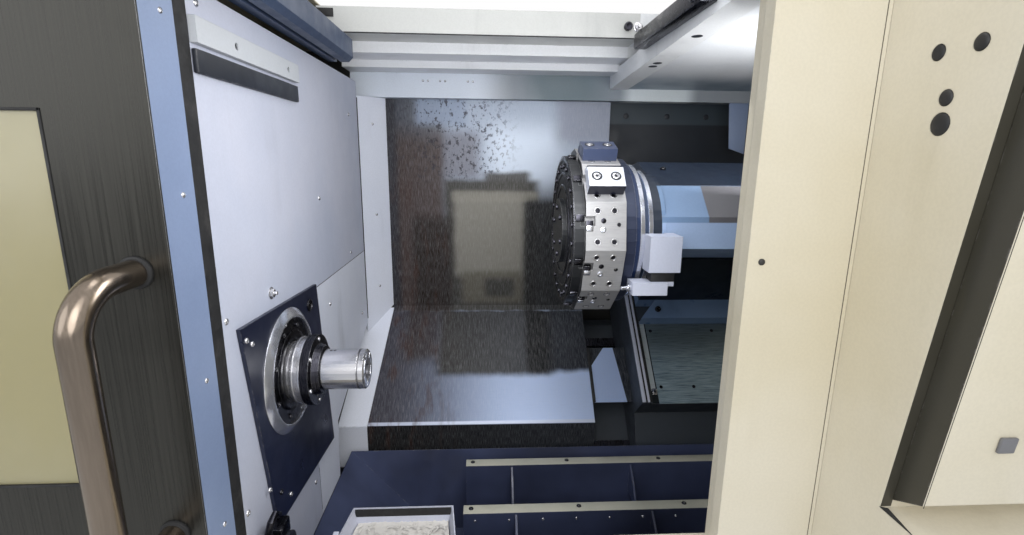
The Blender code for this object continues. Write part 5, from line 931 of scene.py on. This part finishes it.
def dress_handle():
    """A smooth grip, bent round at both ends, on its two gaskets."""
    x, low, high = -0.438, 0.925, 1.347
    bend, out, steps = 0.06, -0.7603, 20
    gaskets = Group("handle_gaskets", "rubber", "sliding_door")
    for z in (high, low):
        gaskets.turned(aimed((x, FRONT_Y, z), FRONT), [
            (0.0238, 0), (0.0238, 0.003), (0.0228, 0.0045), (0.0205, 0.005), (0.0198, 0.0065),
            (0.019, 0.0065),
        ], 48, False)
    grip = Group("smooth_handle", "handle", "sliding_door")
    path = [(x, -0.6503, high), (x, -0.68, high)]
    for i in range(steps + 1):
        a = pi / 2 * i / steps
        path.append((x - 0.01 * i / steps, out + bend * (1 - sin(a)), high - bend * (1 - cos(a))))
    path += [(px, py, low + high - pz) for px, py, pz in reversed(path)]
    grip.tube(path, 0.0194, 48)
    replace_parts(grip.done(50), "door_handle")


def dress_front():
    plugs = Group("front_plugs", "rubber")
    plugs.plugs([(0.4605, FRONT_Y, 1.3615)], FRONT, 0.005, 0.003, 28)
    small = [(0.6046, y, z) for y, z in ((-0.7364, 1.64), (-0.7914, 1.641), (-0.7584, 1.585))]
    plugs.plugs(small, WEST, 0.0094, 0.004, 28)
    plugs.plugs([(0.6046, -0.7566, 1.5545)], WEST, 0.0134, 0.004, 28)
    # A thin dark triangle at the foot of the panel's side that paints the shade under the operator panel
    notch_shade = Group("shelf_notch_shade", "rubber")
    sideways = Matrix(((0, 0, 1, 0), (1, 0, 0, 0), (0, 1, 0, 0), (0, 0, 0, 1)))
    notch_shade.sheet([(-0.7707, 1.0355), (-0.8336, 1.0355), (-0.785, 1.0437)], 0.0004,
                Matrix.Translation((0.6026, 0, 0)) @ sideways, 0)
    Group("front_seams", "seam").block((0.5952, -0.6503, 0.802), (0.5964, -0.6498, 1.789), 0)
    screws = Group("edge_screws", "steel", "sliding_door")
    screws.button_screws([(WALL_X, -0.5995, z) for z in (1.4514, 1.1602, 0.9, 1.7)], EAST, 0.0045, 0.0026)
    dress_handle()
    pane = Group("window_gasket", "rubber", "sliding_door")
    west, east, low, high, wide = -1.052, -0.528, 1.013, 1.567, 0.004
    for start, end in (((west, low), (east, low + wide)), ((west, high - wide), (east, high)),
                       ((west, low), (west + wide, high)), ((east - wide, low), (east, high))):
        pane.block((start[0], -0.6515, start[1]), (end[0], -0.647, end[1]), 0.0008)


def dress_tray():
    """Pale chips that fill the tray, a dark sheet of painted shade on its far wall and the clamp of its
    shaft.
    """
    pile = Group("tray_chips", "chips", "catch_tray")
    made = pile.shape
    across, deep = 44, 34
    grid = []
    noise = random.Random(11)
    for j in range(deep + 1):
        row = []
        v = j / deep
        inset = 0.0075 * 2.6 * v
        for i in range(across + 1):
            u = i / across
            x = -0.256 + inset + (0.24 - 2 * inset) * u
            heap = 0.01 * sin(pi * u) * sin(pi * min(1, 0.35 + v * 0.65))
            z = 0.701 + heap + noise.uniform(-0.0018, 0.0018) - 0.004 * v
            row.append(made.verts.new((x, -0.512 + 0.164 * v, z)))
        grid.append(row)
    for j, i in product(range(deep), range(across)):
        made.faces.new((grid[j][i], grid[j][i + 1], grid[j + 1][i + 1], grid[j + 1][i]))
    for k in range(150):
        x, y = noise.uniform(-0.236, -0.036), noise.uniform(-0.505, -0.375)
        turn = Matrix.Rotation(noise.uniform(0, 6.3), 4, "Z")
        turn = turn @ Matrix.Rotation(noise.uniform(-0.6, 0.6), 4, "X")
        size = noise.uniform(0.003, 0.009)
        place = Matrix.Translation((x, y, 0.7085 + noise.uniform(-0.002, 0.004))) @ turn
        curl = [(-size, -0.0012), (size * 0.2, -0.0022), (size, -0.0006), (size * 0.9, 0.0012), (0, 0.0022),
                (-size, 0.001)]
        pile.sheet(curl, 0.0007, place, 0)
    pile.done(60)
    # A dark sheet on the far wall: painted shade inside the tray
    wall_shade = Group("tray_wall_shade", "rubber", "catch_tray")
    wall_shade.block((-0.244, -0.349, 0.69), (-0.028, -0.347, 0.7285), 0.0004)
    clamp = Group("tray_clamp", "black_steel")
    clamp.tube([(-0.372, -0.497, 0.772), (-0.366, -0.505, 0.796), (-0.362, -0.497, 0.818),
                (-0.36, -0.48, 0.824), (-0.36, -0.466, 0.812)], 0.007, 14)
    clamp.block((RING_X, -0.478, 0.752), (-0.352, -0.432, 0.786), 0.004)


def sided(group, side, near, far, low, high, edge):
    """A block on a side of the machine, between two distances from its middle."""
    west, east = sorted((side * near, side * far))
    group.block((west, *low), (east, *high), edge)


# The faces of the service doors, and the gap that keeps an outer detail off its panel
PROUD = 0.0002
DOOR_X, DOOR_Y = SIDE_X + 0.0042, BACK_Y + 0.0042


def dress_back():
    """Louvre hoods and the cabinet's door at the back, and the service doors on both sides."""
    hoods = Group("louvre_hoods", "cream")
    outline = [(0, 0.0002), (0.023, 0.0002), (0.0215, 0.003), (0.003, 0.013), (0, 0.013)]
    hanging = Matrix(((0, 0, 1, 0), (0, 1, 0, 0), (-1, 0, 0, 0), (0, 0, 0, 1)))
    for bank, row in product((-0.65, 0.65), range(8)):
        z = 1.3125 + 0.045 * row
        hoods.sheet(outline, 0.32, Matrix.Translation((bank - 0.16, BACK_Y - 0.0001, z)) @ hanging)
    doors = Group("cabinet_door", "cream")
    doors.block((-0.395, BACK_Y + PROUD, 0.15), (0.395, DOOR_Y, 1.82), 0.0016)
    for side in (-1, 1):
        sided(doors, side, SIDE_X + PROUD, DOOR_X, (-0.52, 0.14), (0.06, 0.66), 0.0014)
        sided(doors, side, SIDE_X + PROUD, DOOR_X, (0.24, 0.8), (0.82, 1.56), 0.0014)
    iron = Group("cabinet_hinges", "black_steel")
    for z in (0.32, 0.985, 1.65):
        iron.tube([(-0.402, 0.913, z - 0.04), (-0.402, 0.913, z + 0.04)], 0.0075, 20)
        iron.block((-0.4, 0.909, z - 0.036), (-0.365, 0.9125, z + 0.036), 0.001)
    for z in (0.56, 1.4):
        iron.turned(aimed((0.36, DOOR_Y, z), BACK), [
            (0.0165, 0), (0.0165, 0.003), (0.015, 0.0045), (0.006, 0.0045), (0.0055, 0.0015), (0, 0.0015),
        ], 32)
    for side in (-1, 1):
        for y, z in ((-0.48, 0.4), (0.02, 0.4), (0.28, 1.18), (0.78, 1.18)):
            iron.turned(aimed((side * DOOR_X, y, z), (side, 0, 0)), [
                (0.015, 0), (0.015, 0.0028), (0.0138, 0.004), (0.0055, 0.004), (0.005, 0.0015),
                (0, 0.0015),
            ], 32)
        for i in range(7):
            z = 0.52 + 0.014 * i
            sided(iron, side, 1.304, 1.3052, (-0.36, z), (-0.1, z + 0.005), 0.0004)


def dress_outside():
    """Screw rows, latches, the kick strip and the joints between the outer panels."""
    screws = Group("panel_screws", "steel")
    rows = (0.1, 0.7, 1.24, 1.89)
    size = (0.0065, 0.0035, 12)
    screws.button_screws(product((-1.27, -0.85, -0.43, 0.0, 0.43, 0.85, 1.27), (BACK_Y,), rows), BACK, *size)
    for side in (-1, 1):
        screws.button_screws(product((side * SIDE_X,), (-0.6, -0.1, 0.4, 0.86), rows), (side, 0, 0), *size)
    screws.button_screws(product((-1.25, -0.85, -0.45, 0.0, 0.4), (FRONT_Y,), (0.12, 0.76)), FRONT, *size)
    Group("kick_strip", "dark").block((-1.27, -0.653, 0.07), (1.27, FRONT_Y - PROUD, 0.105), 0.001)
    latches = Group("front_latches", "grey_plastic")
    for x in (-0.95, -0.2, 0.4):
        latches.block((x - 0.045, -0.656, 0.47), (x + 0.045, FRONT_Y - PROUD, 0.505), 0.003)
        latches.block((x - 0.036, -0.6575, 0.476), (x + 0.036, -0.6555, 0.484), 0.0008)
    caps = Group("roof_screws", "steel")
    places = product((-1.26, -0.86, -0.46, 0.63, 0.94, 1.26), (-0.52, 0.1, 0.86), (ROOF_Z,))
    caps.button_screws(places, UP, *size)
    joints = Group("panel_joints", "seam")
    for x in (-0.86, 0.94):
        joints.block((x - 0.0008, -0.55, ROOF_Z - 0.0001), (x + 0.0008, 0.89, ROOF_Z + 0.0003), 0)
    for side in (-1, 1):
        sided(joints, side, 1.3001, 1.3005, (-0.63, 0.719), (0.885, 0.7205), 0)
        sided(joints, side, 1.3001, 1.3005, (0.15, 0.09), (0.1515, 1.9), 0)
    for x in (-0.43, 0.43):
        joints.block((x - 0.0008, BACK_Y, 0.08), (x + 0.0008, BACK_Y + SEAM, 1.91), 0)
    joints.block((-1.27, FRONT_Y - SEAM, 0.4395), (0.59, FRONT_Y, 0.441), 0)


PANEL_SLOPE = 0.112
PANEL_FOOT = 1.035
SCREEN = (0.9179, 1.6455)


def panel_frame(x, z, off=0.0):
    """A frame on the operator panel's face: X to the right, Y up the face and Z out of it."""
    front = -0.814 - PANEL_SLOPE * (z - PANEL_FOOT)
    turn = Matrix.Rotation(pi / 2 + atan(PANEL_SLOPE), 4, "X")
    return Matrix.Translation((x, front, z)) @ turn @ Matrix.Translation((0, 0, off))


def dress_panel():
    """Screen glass, key caps, a lamp row and bezels on the operator panel."""
    glass = Group("screen_glass", "screen", "panel")
    glass.block((-0.172, -0.146, 0), (0.172, 0.146, 0.0018), 0.0008, panel_frame(*SCREEN, -0.004))
    keys = Group("key_caps", "grey_plastic", "panel")
    # The keys fill these shares of the panel's width and height
    panel_wide, panel_tall = 0.612, 0.802
    wide, tall = panel_wide * 0.42 / 7, panel_tall * 0.24 / 4
    for row, column in product(range(4), range(7)):
        x = 0.618 + panel_wide * 0.2 + wide * (column + 0.4)
        z = 1.048 + panel_tall * 0.26 + tall * (row + 0.4)
        keys.block((-wide * 0.36, -tall * 0.36, 0), (wide * 0.36, tall * 0.36, 0.0028), 0.0012,
                   panel_frame(x, z, 0.003))
    for column in range(9):
        keys.block((-0.011, -0.011, 0), (0.011, 0.011, 0.0045), 0.0015,
                   panel_frame(0.7 + 0.045 * column, 1.165))
    bezel = Group("screen_bezel", "blue_grey", "panel")
    for low, high in (((-0.186, 0.15), (0.186, 0.16)), ((-0.186, -0.16), (0.186, -0.15)),
                      ((-0.188, -0.16), (-0.178, 0.16)), ((0.178, -0.16), (0.188, 0.16))):
        bezel.block((*low, 0), (*high, 0.0028), 0.0009, panel_frame(*SCREEN))
    Group("stop_collar", "yellow", "panel").turned(panel_frame(1.145, 1.25), [
        (0.028, -0.0004), (0.028, 0.0018), (0.0265, 0.0026), (0.0125, 0.0026), (0.0118, 0.001),
    ], 48, False)
    edge = Group("panel_edge", "rubber", "panel")
    edge.block((0.0022, -0.384, 0), (0.003, 0.39, 0.0003), 0, panel_frame(0.618, 1.449))


make_camera()
make_world()
make_floor()
for lamp in LAMPS:
    make_lamp(*lamp)
dress_nodes()
dress_wall()
dress_guard()
dress_spindle()
dress_turret()
dress_cross()
dress_saddle()
dress_pan()
dress_roof()
dress_front()
dress_tray()
dress_back()
dress_outside()
dress_panel()
for group in Group.unfinished[:]:
    group.done()
view = bpy.context.scene.view_settings
view.view_transform = "Standard"
